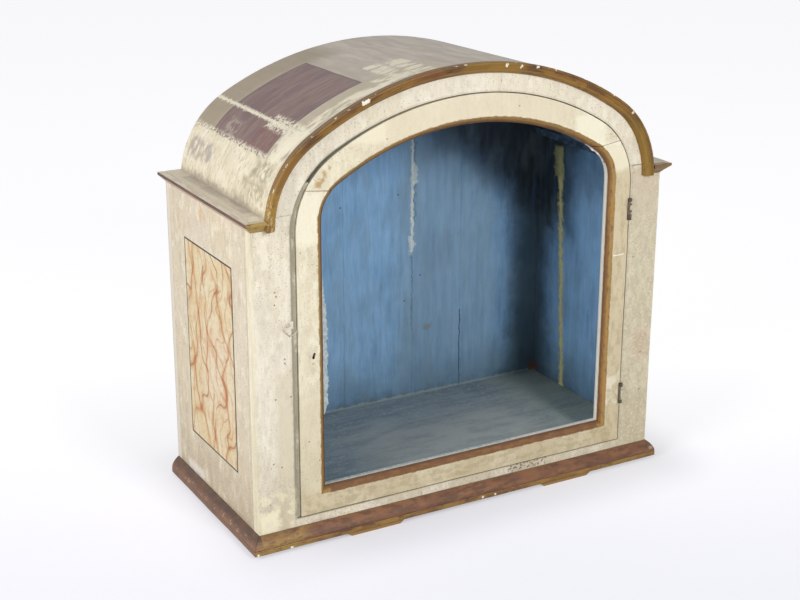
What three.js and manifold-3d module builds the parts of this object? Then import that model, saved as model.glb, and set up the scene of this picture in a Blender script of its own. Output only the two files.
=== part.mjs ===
// Arched wooden tabernacle with an open-framed door, as its separate boards, mouldings and ironwork.
// Millimetres, +Z up, +X to the right of someone who faces the door, -Y towards them.
// Origin on the floor, under the middle of the whole.
import * as THREE from 'three';
import { mergeVertices, toCreasedNormals } from 'three/addons/utils/BufferGeometryUtils.js';
import Module from 'manifold-3d';

const wasm = await Module();
wasm.setup();

// Fits
const fit = 0.3; // hairline between two fixed pieces
const doorSideGap = 1.5; // between the door and the stile that it hangs on
const doorBottomGap = 1.5;
const doorHeadGap = 2;
const stopGap = 8; // left of the door, where the stop strip shows
const stopReveal = 1.3; // between the stop strip and the door's edge
const overrun = 1; // how far a cutter runs past what it cuts

// Case
const bodyWidth = 760;
const bodyDepth = 344;
const mouldingOut = 14; // plinth and cornice beyond the body
const runnerThick = 5;
const baseThick = 17;
const sideHeight = 514.7; // from the base board to the ledge
const sideThick = 22;
const sideSeam = 249; // seam between front and rear side boards, behind the face
const ledgeThick = 12;
const ledgeShow = 23; // ledge outside the foot of the vault
const ledgeInset = 2.7; // ledge inside the foot of the vault
const backThick = 14;
const plankJoints = [-197, -59, 83, 186]; // joints of the back planks, across from the middle
const runnerWidth = 104;
const runnerBevel = 7;
const runnerInsets = [150, 130]; // outer edge of each runner from the side of the body

// Vault
const vaultRise = 202; // crown above the ledge, at the front
const vaultHaunch = 160; // radius of the tighter arc over each foot
const vaultDrop = 9; // the crown is this much lower at the back
const vaultTuck = 4; // and each foot this much further in
const staveThick = 9;
const haunchStaveWidth = 82;
const haunchStaves = 2; // over each foot
const crownStaves = 5;
const haunchFacets = 10;
const crownFacets = 24;

// Front frame
const facadeThick = 20;
const leftStile = 66.5;
const rightStile = 61;
const bottomRail = 25.2;
const archBand = 47; // from the crown of the vault down to the opening
const openingSpringDrop = 13; // the opening springs this much below the vault
const openingHaunchStep = 24; // and its haunches are this much tighter
const headJoint = 1; // joint of stiles and arch, above the ledge
const tenonThick = 6.5;
const facadeTenon = { width: 14, length: 20 };

// Stop strip behind the latch side of the door
const stopSetback = 3;
const stopDepth = 30;
const stopLip = 9.5; // how far it laps behind the door
const stopTop = 78; // above the springing of the opening

// Door
const doorThick = 19;
const sightChamfer = 9.5; // included in the stiles, the rail and the head
const latchStile = 46.5;
const hingeStile = 40.5;
const doorRail = 41.5;
const doorHead = 48.5;
const sightHaunchStep = 70.5;
const headJointLeft = 51; // above the springing of the sight
const headJointRight = 60;
const doorTenon = { width: 16, length: 22, headLength: 18 };

// Floor inside the case
const floorTop = 38; // above the base board
const floorThick = 18;
const bearerWidth = 30;
const bearerInset = 60; // from the side boards

// Mouldings
const plinthHeight = 29;
const plinthFillet = 8.5;
const plinthGroove = 0.8;
const corniceHeight = 18;
const corniceFascia = 4.5;
const archWidth = 18;
const archOut = 13;
const archFillet = 4;
const archEdge = 1.5;
const archProud = 1.5; // of the vault
const archJoints = [216, 187]; // right and left of the middle

// Hinges
const hingeHeight = 37;
const hingeLow = 88.5; // centre of the lower hinge above the door's bottom
const hingeHigh = 43.5; // centre of the upper hinge below the springing
const barrelRadius = 3.6;
const pinRadius = 1.4;
const barrelGroove = 4.1;
const barrelOut = 2; // pin in front of the face
const leafThick = 1.5;
const leafWidth = 15;
const leafGap = 0.8;
const knuckles = 3;
const screwRadius = 1.6;
const screwSpacing = 12;

// Lock
const lockHeight = 270; // keyhole above the door's bottom
const keyholeInset = 26.2; // keyhole from the door's edge
const keyhole = { width: 4.2, height: 10, lean: THREE.MathUtils.degToRad(22) };
const lockCase = { right: 7.8, height: 60, depth: 9, wall: 1.5 };
const keyPinRadius = 1.5;
const bolt = { length: 30, height: 12, thick: 4, above: 7, talon: 6, talonDepth: 4 };
const guideHeight = 2;

// Wire catch
const nailHeight = 328; // above the door's bottom
const nailInset = 9.5; // from the edge of the opening
const nail = { head: 2.5, headThick: 1.4, shank: 1.2, length: 18 };
const wireRadius = 0.9;
const eyeRadius = 2.6;
const catchPoints = [[-5.3, -1.8], [-8.7, -5.2], [-6.3, -8.9], [-2.2, -13.5], [1.9, -17.4], [7, -17.1],
  [11.3, -14.5], [15.2, -11.1]]; // bends of the wire from the nail, across and up

// Levels and faces that the pieces share
const halfWidth = bodyWidth / 2;
const backY = (bodyDepth + mouldingOut) / 2;
const faceY = backY - bodyDepth;
const facadeBackY = faceY + facadeThick;
const insideBackY = backY - backThick;
const baseBottom = runnerThick;
const baseTop = baseBottom + baseThick;
const ledgeBottom = baseTop + sideHeight + fit;
const ledgeTop = ledgeBottom + ledgeThick;
const wallBottom = baseTop + fit;
const wallTop = ledgeBottom - fit;
const vaultSpring = ledgeTop - corniceHeight;
const vaultFoot = ledgeTop + fit;
const insideHalf = halfWidth - sideThick;
const mitreGap = fit / Math.SQRT2;
const ledgeInnerX = halfWidth - ledgeShow - staveThick - ledgeInset;

// Finishes, from the photograph
const cream = { color: '#e6dfd0', roughness: 0.5, metalness: 0 };
const rose = { color: '#ddd3c8', roughness: 0.55, metalness: 0 };
const blue = { color: '#5a84b8', roughness: 0.6, metalness: 0 };
const purple = { color: '#93847c', roughness: 0.6, metalness: 0 };
const gilt = { color: '#a87a28', roughness: 0.4, metalness: 0.5 };
const brown = { color: '#7a4030', roughness: 0.5, metalness: 0 };
const oldWood = { color: '#8a6f52', roughness: 0.8, metalness: 0 };
const shadeGrey = { color: '#a8a28f', roughness: 0.6, metalness: 0 };
const iron = { color: '#3f3a35', roughness: 0.6, metalness: 0.7 };

// Turns a closed three.js geometry into a solid that can be cut and joined.
function solidOf(geometry) {
  const bare = geometry.index ? geometry.toNonIndexed() : geometry.clone();
  bare.deleteAttribute('normal');
  bare.deleteAttribute('uv');
  const merged = mergeVertices(bare, 1e-4);
  const vertProperties = new Float32Array(merged.attributes.position.array);
  const triVerts = new Uint32Array(merged.index.array);
  return new wasm.Manifold(new wasm.Mesh({ numProp: 3, vertProperties, triVerts }));
}

function geometryOf(solid) {
  const { numProp, vertProperties, triVerts } = solid.getMesh();
  const geometry = new THREE.BufferGeometry();
  const positions = new Float32Array(vertProperties.length / numProp * 3);
  for (let i = 0; i < positions.length / 3; i++) {
    positions.set(vertProperties.subarray(i * numProp, i * numProp + 3), i * 3);
  }
  geometry.setAttribute('position', new THREE.BufferAttribute(positions, 3));
  geometry.setIndex(new THREE.BufferAttribute(new Uint32Array(triVerts), 1));
  return toCreasedNormals(geometry, Math.PI / 6);
}

function addPiece(group, name, solid, finish) {
  const mesh = new THREE.Mesh(geometryOf(solid), new THREE.MeshStandardMaterial(finish));
  mesh.name = name;
  group.add(mesh);
}

function box(x0, x1, y0, y1, z0, z1) {
  const geometry = new THREE.BoxGeometry(x1 - x0, y1 - y0, z1 - z0);
  geometry.translate((x0 + x1) / 2, (y0 + y1) / 2, (z0 + z1) / 2);
  return solidOf(geometry);
}

// A board from y0 back to y1, with an outline drawn in X and Z.
function board(outline, y0, y1) {
  const shape = new THREE.Shape(outline);
  const geometry = new THREE.ExtrudeGeometry(shape, { depth: y1 - y0, bevelEnabled: false });
  geometry.rotateX(Math.PI / 2);
  geometry.translate(0, y1, 0);
  return solidOf(geometry);
}

// A round bar about the Z axis.
function bar(radius, from, to, facets = 24) {
  const geometry = new THREE.CylinderGeometry(radius, radius, to - from, facets);
  geometry.translate(0, (from + to) / 2, 0);
  geometry.rotateX(Math.PI / 2);
  return solidOf(geometry);
}

// Joins rings of points, one along each section, into one solid that is closed at both ends.
function loft(section, rings) {
  const count = section.length;
  const positions = rings.flat().flatMap((point) => point.toArray());
  const index = [];
  for (let ring = 0; ring < rings.length - 1; ring++) {
    for (let i = 0; i < count; i++) {
      const a = ring * count + i;
      const b = ring * count + (i + 1) % count;
      index.push(a, b, b + count, a, b + count, a + count);
    }
  }
  const last = (rings.length - 1) * count;
  for (const [a, b, c] of THREE.ShapeUtils.triangulateShape(section, [])) {
    if (THREE.ShapeUtils.area(section) > 0) {
      index.push(c, b, a, last + a, last + b, last + c);
    } else {
      index.push(a, b, c, last + c, last + b, last + a);
    }
  }
  const geometry = new THREE.BufferGeometry();
  geometry.setAttribute('position', new THREE.Float32BufferAttribute(positions, 3));
  geometry.setIndex(signedVolume(positions, index) < 0 ? index.reverse() : index);
  return solidOf(geometry);
}

function signedVolume(positions, index) {
  const corner = (i) => new THREE.Vector3().fromArray(positions, index[i] * 3);
  let volume = 0;
  for (let i = 0; i < index.length; i += 3) {
    volume += corner(i).dot(corner(i + 1).cross(corner(i + 2))) / 6;
  }
  return volume;
}

// A basket arch: a tight arc over each springing and a flatter one between, meeting without a corner.
function basketArch(half, spring, top, haunch, centre = 0) {
  const rise = top - spring;
  const inset = half - haunch;
  const crown = (inset ** 2 + rise ** 2 - haunch ** 2) / (2 * (rise - haunch));
  const turn = Math.atan2(crown - rise, inset);
  return { half, spring, top, haunch, centre, inset, crown, turn };
}

function grown(arch, by) {
  return basketArch(arch.half + by, arch.spring, arch.top + by, arch.haunch + by, arch.centre);
}

// The point of an arch that faces this angle, counted from +X.
function archPoint(arch, angle) {
  const { centre, spring, top, haunch, inset, crown, turn } = arch;
  const across = Math.cos(angle);
  const up = Math.sin(angle);
  if (angle < turn) return new THREE.Vector2(centre + inset + haunch * across, spring + haunch * up);
  if (angle > Math.PI - turn) return new THREE.Vector2(centre - inset + haunch * across, spring + haunch * up);
  return new THREE.Vector2(centre + crown * across, top - crown + crown * up);
}

// Even steps of angle along each of the three arcs, between two angles.
function archAngles({ turn }, from = 0, to = Math.PI) {
  const stops = [from, turn, Math.PI - turn, to].filter((stop) => stop >= from && stop <= to);
  const angles = [from];
  for (let i = 1; i < stops.length; i++) {
    const span = stops[i] - stops[i - 1];
    const middle = (stops[i] + stops[i - 1]) / 2;
    const onCrown = middle > turn && middle < Math.PI - turn;
    const facet = onCrown ? (Math.PI - 2 * turn) / crownFacets : turn / haunchFacets;
    const steps = Math.ceil(span / facet - 0.01);
    for (let step = 1; step <= steps; step++) angles.push(stops[i - 1] + span * step / steps);
  }
  return angles;
}

// The angle that an arch faces at this length along it from its right springing.
function angleAt(arch, length) {
  const haunchLength = arch.haunch * arch.turn;
  if (length < haunchLength) return length / arch.haunch;
  return arch.turn + (length - haunchLength) / arch.crown;
}

function archedOutline(arch, bottom) {
  const feet = [new THREE.Vector2(arch.centre - arch.half, bottom), new THREE.Vector2(arch.centre + arch.half, bottom)];
  return feet.concat(archAngles(arch).map((angle) => archPoint(arch, angle)));
}

// The outer face of the vault, at this distance behind the front.
function vaultAt(depth) {
  const share = depth / bodyDepth;
  const half = halfWidth - ledgeShow - vaultTuck * share;
  return basketArch(half, vaultSpring, ledgeTop + vaultRise - vaultDrop * share, vaultHaunch);
}

const vaultFront = vaultAt(0);
const openingLeft = -halfWidth + leftStile;
const openingRight = halfWidth - rightStile;
const openingBottom = wallBottom + bottomRail;
const openingArch = basketArch(
  (openingRight - openingLeft) / 2,
  vaultSpring - openingSpringDrop,
  vaultFront.top - archBand,
  vaultHaunch - openingHaunchStep,
  (openingLeft + openingRight) / 2,
);

const doorLeft = openingLeft + stopGap;
const doorRight = openingRight - doorSideGap;
const doorBottom = openingBottom + doorBottomGap;
const doorBackY = faceY + doorThick;
const doorArch = basketArch(
  (doorRight - doorLeft) / 2,
  openingArch.spring,
  openingArch.top - doorHeadGap,
  openingArch.haunch - doorHeadGap,
  (doorLeft + doorRight) / 2,
);

const sightLeft = doorLeft + latchStile;
const sightRight = doorRight - hingeStile;
const sightBottom = doorBottom + doorRail;
const sightArch = basketArch(
  (sightRight - sightLeft) / 2,
  vaultSpring,
  doorArch.top - doorHead,
  doorArch.haunch - sightHaunchStep,
  (sightLeft + sightRight) / 2,
);

const hingeX = (doorRight + openingRight) / 2;
const hingeY = faceY - barrelOut;
const hingeHeights = { lower: doorBottom + hingeLow, upper: doorArch.spring - hingeHigh };
const keyholeX = doorLeft + keyholeInset;
const keyholeZ = doorBottom + lockHeight;
const nailX = openingLeft - nailInset;
const nailZ = doorBottom + nailHeight;

// A tenon in the middle of a board's thickness, or its mortise when it is grown.
function tenon(x0, x1, z0, z1, thick, grow = 0) {
  const y = faceY + (thick - tenonThick) / 2;
  return box(x0 - grow, x1 + grow, y - grow, y + tenonThick + grow, z0 - grow, z1 + grow);
}

// Base: two runners with bevelled edges, the base board, and the plinth moulding mitred round it.
function addBase(group) {
  const starts = [-halfWidth + runnerInsets[0], halfWidth - runnerInsets[1] - runnerWidth];
  ['left', 'right'].forEach((side, i) => {
    const x0 = starts[i];
    const outline = [
      new THREE.Vector2(x0 + runnerBevel, 0),
      new THREE.Vector2(x0 + runnerWidth - runnerBevel, 0),
      new THREE.Vector2(x0 + runnerWidth, runnerThick),
      new THREE.Vector2(x0, runnerThick),
    ];
    addPiece(group, `runner_${side}`, board(outline, faceY - mouldingOut, backY), oldWood);
  });
  const baseBoard = box(-halfWidth + fit, halfWidth - fit, faceY + fit, backY, baseBottom, baseTop);
  addPiece(group, 'base_board', baseBoard, oldWood);

  const profile = plinthProfile();
  addPiece(group, 'plinth_front', frontMoulding(profile, baseBottom, -1, 1), brown);
  addPiece(group, 'plinth_left', sideMoulding(profile, baseBottom, -1), brown);
  addPiece(group, 'plinth_right', sideMoulding(profile, baseBottom, 1), brown);
}

// Plinth section, outwards and up: a fillet, a scored line and an ovolo that dies into the wall.
function plinthProfile() {
  const shape = new THREE.Shape();
  const fillet = plinthFillet + plinthGroove;
  shape.moveTo(fit, 0);
  shape.lineTo(mouldingOut - plinthGroove, 0);
  shape.lineTo(mouldingOut, plinthGroove);
  shape.lineTo(mouldingOut, plinthFillet);
  shape.lineTo(mouldingOut - plinthGroove, fillet);
  shape.lineTo(mouldingOut, fillet + plinthGroove);
  shape.quadraticCurveTo(mouldingOut * 0.88, plinthHeight * 0.7, fit, plinthHeight);
  return shape.getPoints(8);
}

// Cornice section, outwards and up from its underside: a hollow below a flat fascia.
function corniceProfile() {
  const shape = new THREE.Shape();
  const hollow = corniceHeight - corniceFascia;
  shape.moveTo(fit, 0);
  shape.quadraticCurveTo(mouldingOut * 0.36, hollow * 0.4, mouldingOut, hollow);
  shape.lineTo(mouldingOut, corniceHeight);
  shape.lineTo(fit, corniceHeight);
  return shape.getPoints(8);
}

// A moulding on the front of the body, from one mitred corner to the other or to a square end.
function frontMoulding(profile, z, from, to) {
  const ends = [from, to].map((end) => profile.map(({ x: out, y: up }) => {
    const mitre = halfWidth + out - mitreGap;
    const x = Math.abs(end) === 1 ? end * mitre : end;
    return new THREE.Vector3(x, faceY - out, z + up);
  }));
  return loft(profile, ends);
}

// A moulding along one side of the body, mitred at the front and square at the back.
function sideMoulding(profile, z, side) {
  const front = profile.map(({ x: out, y: up }) =>
    new THREE.Vector3(side * (halfWidth + out), faceY - out + mitreGap, z + up));
  const back = profile.map(({ x: out, y: up }) => new THREE.Vector3(side * (halfWidth + out), backY, z + up));
  return loft(profile, [front, back]);
}

// Sides in two boards each, and the back in upright planks cut to the vault.
function addWalls(group) {
  for (const [side, sign] of [['left', -1], ['right', 1]]) {
    const x0 = Math.min(sign * insideHalf, sign * halfWidth);
    const x1 = x0 + sideThick;
    const seamY = faceY + sideSeam;
    const front = box(x0, x1, facadeBackY + fit, seamY - fit / 2, wallBottom, wallTop);
    const rear = box(x0, x1, seamY + fit / 2, insideBackY - fit, wallBottom, wallTop);
    addPiece(group, `side_${side}_front_board`, front, rose);
    addPiece(group, `side_${side}_rear_board`, rear, rose);
  }
  const square = box(-halfWidth, halfWidth, insideBackY, backY, wallBottom, wallTop);
  const arched = board(archedOutline(grown(vaultAt(bodyDepth), -staveThick - fit), wallBottom), insideBackY, backY);
  const blank = square.add(arched);
  const edges = [-halfWidth - overrun, ...plankJoints, halfWidth + overrun];
  for (let i = 1; i < edges.length; i++) {
    const x0 = edges[i - 1] + fit / 2;
    const x1 = edges[i] - fit / 2;
    const plank = box(x0, x1, insideBackY - overrun, backY + overrun, 0, ledgeTop + vaultRise).intersect(blank);
    addPiece(group, `back_plank_${i}`, plank, blue);
  }
}

// The floor that shows through the door, on two bearers.
function addFloor(group) {
  const top = baseTop + floorTop;
  const y0 = facadeBackY + fit;
  const y1 = insideBackY - fit;
  addPiece(group, 'floor_board', box(-insideHalf + fit, insideHalf - fit, y0, y1, top - floorThick, top), blue);
  for (const [side, sign] of [['left', -1], ['right', 1]]) {
    const outer = sign * (insideHalf - bearerInset);
    const inner = sign * (insideHalf - bearerInset - bearerWidth);
    const bearer = box(Math.min(inner, outer), Math.max(inner, outer), y0, y1, wallBottom, top - floorThick - fit);
    addPiece(group, `floor_bearer_${side}`, bearer, oldWood);
  }
}

// Ledge boards on the sides, and the cornice moulding that hides their edges.
function addLedges(group) {
  const profile = corniceProfile();
  const z = ledgeTop - corniceHeight;
  const returnEnd = vaultFront.half + archProud + fit;
  for (const [side, sign] of [['left', -1], ['right', 1]]) {
    const inner = sign * ledgeInnerX;
    const outer = sign * halfWidth;
    const ledge = box(Math.min(inner, outer), Math.max(inner, outer), faceY, backY, ledgeBottom, ledgeTop);
    addPiece(group, `ledge_${side}`, ledge, cream);
    addPiece(group, `cornice_${side}`, sideMoulding(profile, z, sign), brown);
    addPiece(group, `cornice_return_${side}`, frontMoulding(profile, z, sign, sign * returnEnd), gilt);
  }
}

// One stave of the vault between two angles, tapering towards the lower back arch.
function stave(from, to) {
  const clear = fit / 2 / vaultFront.crown;
  const angles = archAngles(vaultFront, from + clear, to - clear);
  const rings = [0, bodyDepth].map((depth) => {
    const outer = vaultAt(depth);
    const inner = grown(outer, -staveThick);
    const outside = angles.map((angle) => archPoint(outer, angle));
    const inside = angles.map((angle) => archPoint(inner, angle)).reverse();
    return outside.concat(inside).map(({ x, y: z }) => new THREE.Vector3(x, faceY + depth, z));
  });
  const section = rings[0].map(({ x, z }) => new THREE.Vector2(x, z));
  return loft(section, rings);
}

// Staves from the right foot over to the left, cut level where they stand on the ledges.
function addVault(group) {
  const corner = angleAt(vaultFront, haunchStaves * haunchStaveWidth);
  const joints = [];
  for (let i = 0; i < haunchStaves; i++) joints.push(angleAt(vaultFront, i * haunchStaveWidth));
  for (let i = 0; i <= crownStaves; i++) joints.push(corner + (Math.PI - 2 * corner) * i / crownStaves);
  for (let i = haunchStaves - 1; i >= 0; i--) joints.push(Math.PI - angleAt(vaultFront, i * haunchStaveWidth));
  const below = box(-halfWidth, halfWidth, faceY - overrun, backY + overrun, 0, vaultFoot);
  for (let i = 0; i < joints.length - 1; i++) {
    const name = `vault_stave_${joints.length - 1 - i}`;
    addPiece(group, name, stave(joints[i], joints[i + 1]).subtract(below), purple);
  }
}

// The front board: wide at the ledges, arched above them, with the door's opening cut out.
function facadeBlank() {
  const square = box(-halfWidth, halfWidth, faceY, facadeBackY, wallBottom, wallTop);
  const headArch = grown(vaultAt(facadeThick), -staveThick - fit);
  const head = board(archedOutline(headArch, wallBottom), faceY, facadeBackY);
  const opening = board(archedOutline(openingArch, openingBottom), faceY - overrun, facadeBackY + overrun);
  const pockets = [-1, 1].map((sign) => {
    const inner = sign * (ledgeInnerX - fit);
    const outer = sign * (halfWidth + overrun);
    const x0 = Math.min(inner, outer);
    return box(x0, Math.max(inner, outer), faceY - overrun, facadeBackY + overrun, wallTop, vaultFoot);
  });
  return square.add(head).subtract(pockets[0]).subtract(pockets[1]).subtract(opening);
}

// Front frame: two stiles, a bottom rail tenoned into them, and the arch on the stiles' tenons.
function addFacade(group) {
  const blank = facadeBlank();
  const jointZ = ledgeTop + headJoint;
  const y0 = faceY - overrun;
  const y1 = facadeBackY + overrun;
  const { width, length } = facadeTenon;
  const railMiddle = (wallBottom + openingBottom) / 2;
  const railTenon = (grow) => [openingLeft, openingRight].map((x) =>
    tenon(x - length, x + length, railMiddle - width / 2, railMiddle + width / 2, facadeThick, grow));
  const railSpace = box(openingLeft, openingRight, y0, y1, 0, openingBottom + overrun);
  const stileTenon = (sign, grow) => {
    const x = sign < 0 ? openingLeft - width / 2 : openingRight + width / 2;
    return tenon(x - width / 2, x + width / 2, jointZ - length, jointZ + length, facadeThick, grow);
  };

  const railLength = box(openingLeft + fit, openingRight - fit, y0, y1, 0, openingBottom + overrun);
  let rail = blank.intersect(railLength);
  let arch = blank.intersect(box(-halfWidth, halfWidth, y0, y1, jointZ, vaultFront.top));
  for (const [side, sign] of [['left', -1], ['right', 1]]) {
    const half = box(Math.min(0, sign * halfWidth), Math.max(0, sign * halfWidth), y0, y1, 0, jointZ - fit);
    const [leftMortise, rightMortise] = railTenon(fit);
    const [leftTenon, rightTenon] = railTenon(0);
    let stile = blank.intersect(half).subtract(railSpace);
    stile = stile.subtract(sign < 0 ? leftMortise : rightMortise).add(stileTenon(sign, 0));
    rail = rail.add(sign < 0 ? leftTenon : rightTenon);
    arch = arch.subtract(stileTenon(sign, fit));
    if (sign < 0) stile = stile.subtract(nailHole());
    if (sign > 0) stile = stile.subtract(hingeCuts(openingRight, 1));
    addPiece(group, `facade_stile_${side}`, stile, cream);
  }
  addPiece(group, 'facade_bottom_rail', rail, cream);
  addPiece(group, 'facade_arch', arch, cream);
}

// The strip that stops the door on its latch side, with the slot that the bolt shoots into.
function addStopStrip(group) {
  const outer = grown(openingArch, -fit);
  const web = grown(doorArch, stopReveal);
  const lip = grown(doorArch, -stopLip);
  const frontY = faceY + stopSetback;
  const lipY = doorBackY + 2 * fit;
  const stripBackY = faceY + stopDepth;
  const bottom = openingBottom + fit;
  const height = openingArch.spring + stopTop;
  const whole = board(archedOutline(outer, bottom), frontY, stripBackY);
  const besideDoor = board(archedOutline(web, bottom - overrun), frontY - overrun, lipY);
  const behindDoor = board(archedOutline(lip, bottom - overrun), lipY - overrun, stripBackY + overrun);
  const keep = box(openingLeft - overrun, openingArch.centre - openingArch.inset, frontY, stripBackY, 0, height);
  const floorClear = box(openingLeft - overrun, 0, facadeBackY - fit, stripBackY + overrun, 0, floorClearTop());
  const slotZ = keyholeZ + bolt.above;
  const slotY = boltBackY() - bolt.thick;
  const slot = box(openingLeft - overrun, doorLeft + stopLip, slotY - fit, boltBackY() + fit,
    slotZ - fit, slotZ + bolt.height + fit);
  const strip = whole.subtract(besideDoor).subtract(behindDoor).intersect(keep).subtract(floorClear).subtract(slot);
  addPiece(group, 'latch_stop_strip', strip, shadeGrey);
}

function floorClearTop() {
  return baseTop + floorTop + fit;
}

// The door's sight: chamfered in from the front, then square through the back half.
function sightCutter() {
  const outline = (grow) => archedOutline(grown(sightArch, grow), sightBottom - grow);
  const ring = (grow, y) => outline(grow).map(({ x, y: z }) => new THREE.Vector3(x, y, z));
  const chamferBackY = faceY + sightChamfer;
  const rings = [
    ring(sightChamfer + overrun, faceY - overrun),
    ring(0, chamferBackY),
    ring(0, doorBackY + overrun),
  ];
  return loft(outline(0), rings);
}

// Mortises for both hinges in the edge at x, on the side of the sign, with the groove for each barrel.
function hingeCuts(x, sign) {
  const leafOuter = hingeX + sign * (leafGap / 2 + leafThick + fit);
  const x0 = Math.min(leafOuter, x - sign * overrun);
  const x1 = Math.max(leafOuter, x - sign * overrun);
  const cuts = Object.values(hingeHeights).map((z) => {
    const z0 = z - hingeHeight / 2 - fit;
    const z1 = z + hingeHeight / 2 + fit;
    const mortise = box(x0, x1, faceY - overrun, hingeY + leafWidth + fit, z0, z1);
    const groove = bar(barrelGroove, -hingeHeight / 2 - fit, hingeHeight / 2 + fit).translate(hingeX, hingeY, z);
    return mortise.add(groove);
  });
  return cuts[0].add(cuts[1]);
}

// Door: latch and hinge stiles, a bottom rail tenoned between them and an arched head over them.
function addDoor(group) {
  const blank = board(archedOutline(doorArch, doorBottom), faceY, doorBackY).subtract(sightCutter());
  const y0 = faceY - overrun;
  const y1 = doorBackY + overrun;
  const { width, length, headLength } = doorTenon;
  const railMiddle = (doorBottom + sightBottom - sightChamfer) / 2;
  const sides = [
    { name: 'left', x: sightLeft, sign: -1, jointZ: sightArch.spring + headJointLeft, cut: lockCuts() },
    { name: 'right', x: sightRight, sign: 1, jointZ: sightArch.spring + headJointRight, cut: hingeCuts(doorRight, -1) },
  ];
  const railSpace = box(sightLeft, sightRight, y0, y1, 0, sightBottom + overrun);
  let rail = blank.intersect(box(sightLeft + fit, sightRight - fit, y0, y1, 0, sightBottom + overrun));
  let head = blank;
  for (const { name, x, sign, jointZ, cut } of sides) {
    const railTenon = (grow) => tenon(x - length, x + length, railMiddle - width / 2, railMiddle + width / 2,
      doorThick, grow);
    const seat = archPoint(sightArch, Math.PI / 2 - sign * (Math.PI / 2 - Math.asin(stileSine(jointZ)))).x;
    const inner = seat + sign * sightChamfer / 2;
    const stileTenon = (grow) => tenon(Math.min(inner, inner + sign * width), Math.max(inner, inner + sign * width),
      jointZ - 2 * overrun, jointZ + headLength, doorThick, grow);
    const outerX = sign * halfWidth;
    const half = box(Math.min(0, outerX), Math.max(0, outerX), y0, y1, 0, jointZ - fit);
    const below = box(Math.min(0, outerX), Math.max(0, outerX), y0, y1, 0, jointZ);
    const stile = blank.intersect(half).subtract(railSpace).subtract(railTenon(fit)).add(stileTenon(0));
    addPiece(group, `door_stile_${name}`, stile.subtract(cut), cream);
    rail = rail.add(railTenon(0));
    head = head.subtract(below).subtract(stileTenon(fit));
  }
  addPiece(group, 'door_bottom_rail', rail, cream);
  addPiece(group, 'door_arch_head', head, cream);
}

// Sine of the angle at which the sight's haunch reaches this height.
function stileSine(z) {
  return Math.min((z - sightArch.spring) / sightArch.haunch, Math.sin(sightArch.turn));
}

// One butt hinge about a pin at its origin: the frame leaf has the outer knuckles, the door leaf the middle.
function addHinge(caseGroup, doorGroup, name, z) {
  const knuckle = (hingeHeight - (knuckles - 1) * fit) / knuckles;
  const place = (group) => {
    const hinge = new THREE.Group();
    hinge.position.set(hingeX, hingeY, z);
    group.add(hinge);
    return hinge;
  };
  const bore = bar(pinRadius + fit, -hingeHeight, hingeHeight);
  const leaf = (sign, own) => {
    const x0 = Math.min(sign * leafGap / 2, sign * (leafGap / 2 + leafThick));
    let solid = box(x0, x0 + leafThick, 0, leafWidth, -hingeHeight / 2, hingeHeight / 2);
    for (let i = 0; i < knuckles; i++) {
      const from = -hingeHeight / 2 + i * (knuckle + fit);
      const isOwn = i % 2 === own;
      if (isOwn) solid = solid.add(bar(barrelRadius, from, from + knuckle));
      if (!isOwn) solid = solid.subtract(bar(barrelRadius + fit, from - fit, from + knuckle + fit));
    }
    for (const row of [-1, 0, 1]) {
      const across = barrelRadius + (leafWidth - barrelRadius) * (row === 0 ? 0.68 : 0.42);
      const hole = bar(screwRadius, -leafWidth, leafWidth, 12).rotate([0, 90, 0]);
      solid = solid.subtract(hole.translate(0, across, row * screwSpacing));
    }
    return solid.subtract(bore);
  };
  addPiece(place(caseGroup), `${name}_hinge_frame_leaf`, leaf(1, 0), iron);
  addPiece(place(caseGroup), `${name}_hinge_pin`, bar(pinRadius, -hingeHeight / 2, hingeHeight / 2), iron);
  addPiece(place(doorGroup), `${name}_hinge_door_leaf`, leaf(-1, 1), iron);
}

// Half-mortise lock: sizes from the keyhole, and behind the face of the door.
function boltBackY() {
  return doorBackY - lockCase.wall - fit;
}

function lockCuts() {
  const { right, height, depth } = lockCase;
  const z0 = keyholeZ - height / 2 - fit;
  const z1 = keyholeZ + height / 2 + fit;
  const y0 = doorBackY - depth - fit;
  const pocket = box(doorLeft - overrun, keyholeX + right + fit, y0, doorBackY + overrun, z0, z1);
  const straight = (keyhole.height - keyhole.width) / 2;
  const slot = new THREE.Shape();
  slot.absarc(0, straight, keyhole.width / 2, 0, Math.PI);
  slot.absarc(0, -straight, keyhole.width / 2, Math.PI, 2 * Math.PI);
  const outline = slot.getPoints(8).map((point) => {
    point.rotateAround(new THREE.Vector2(), -keyhole.lean);
    return point.add(new THREE.Vector2(keyholeX, keyholeZ));
  });
  return pocket.add(board(outline, faceY - overrun, y0 + overrun));
}

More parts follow.
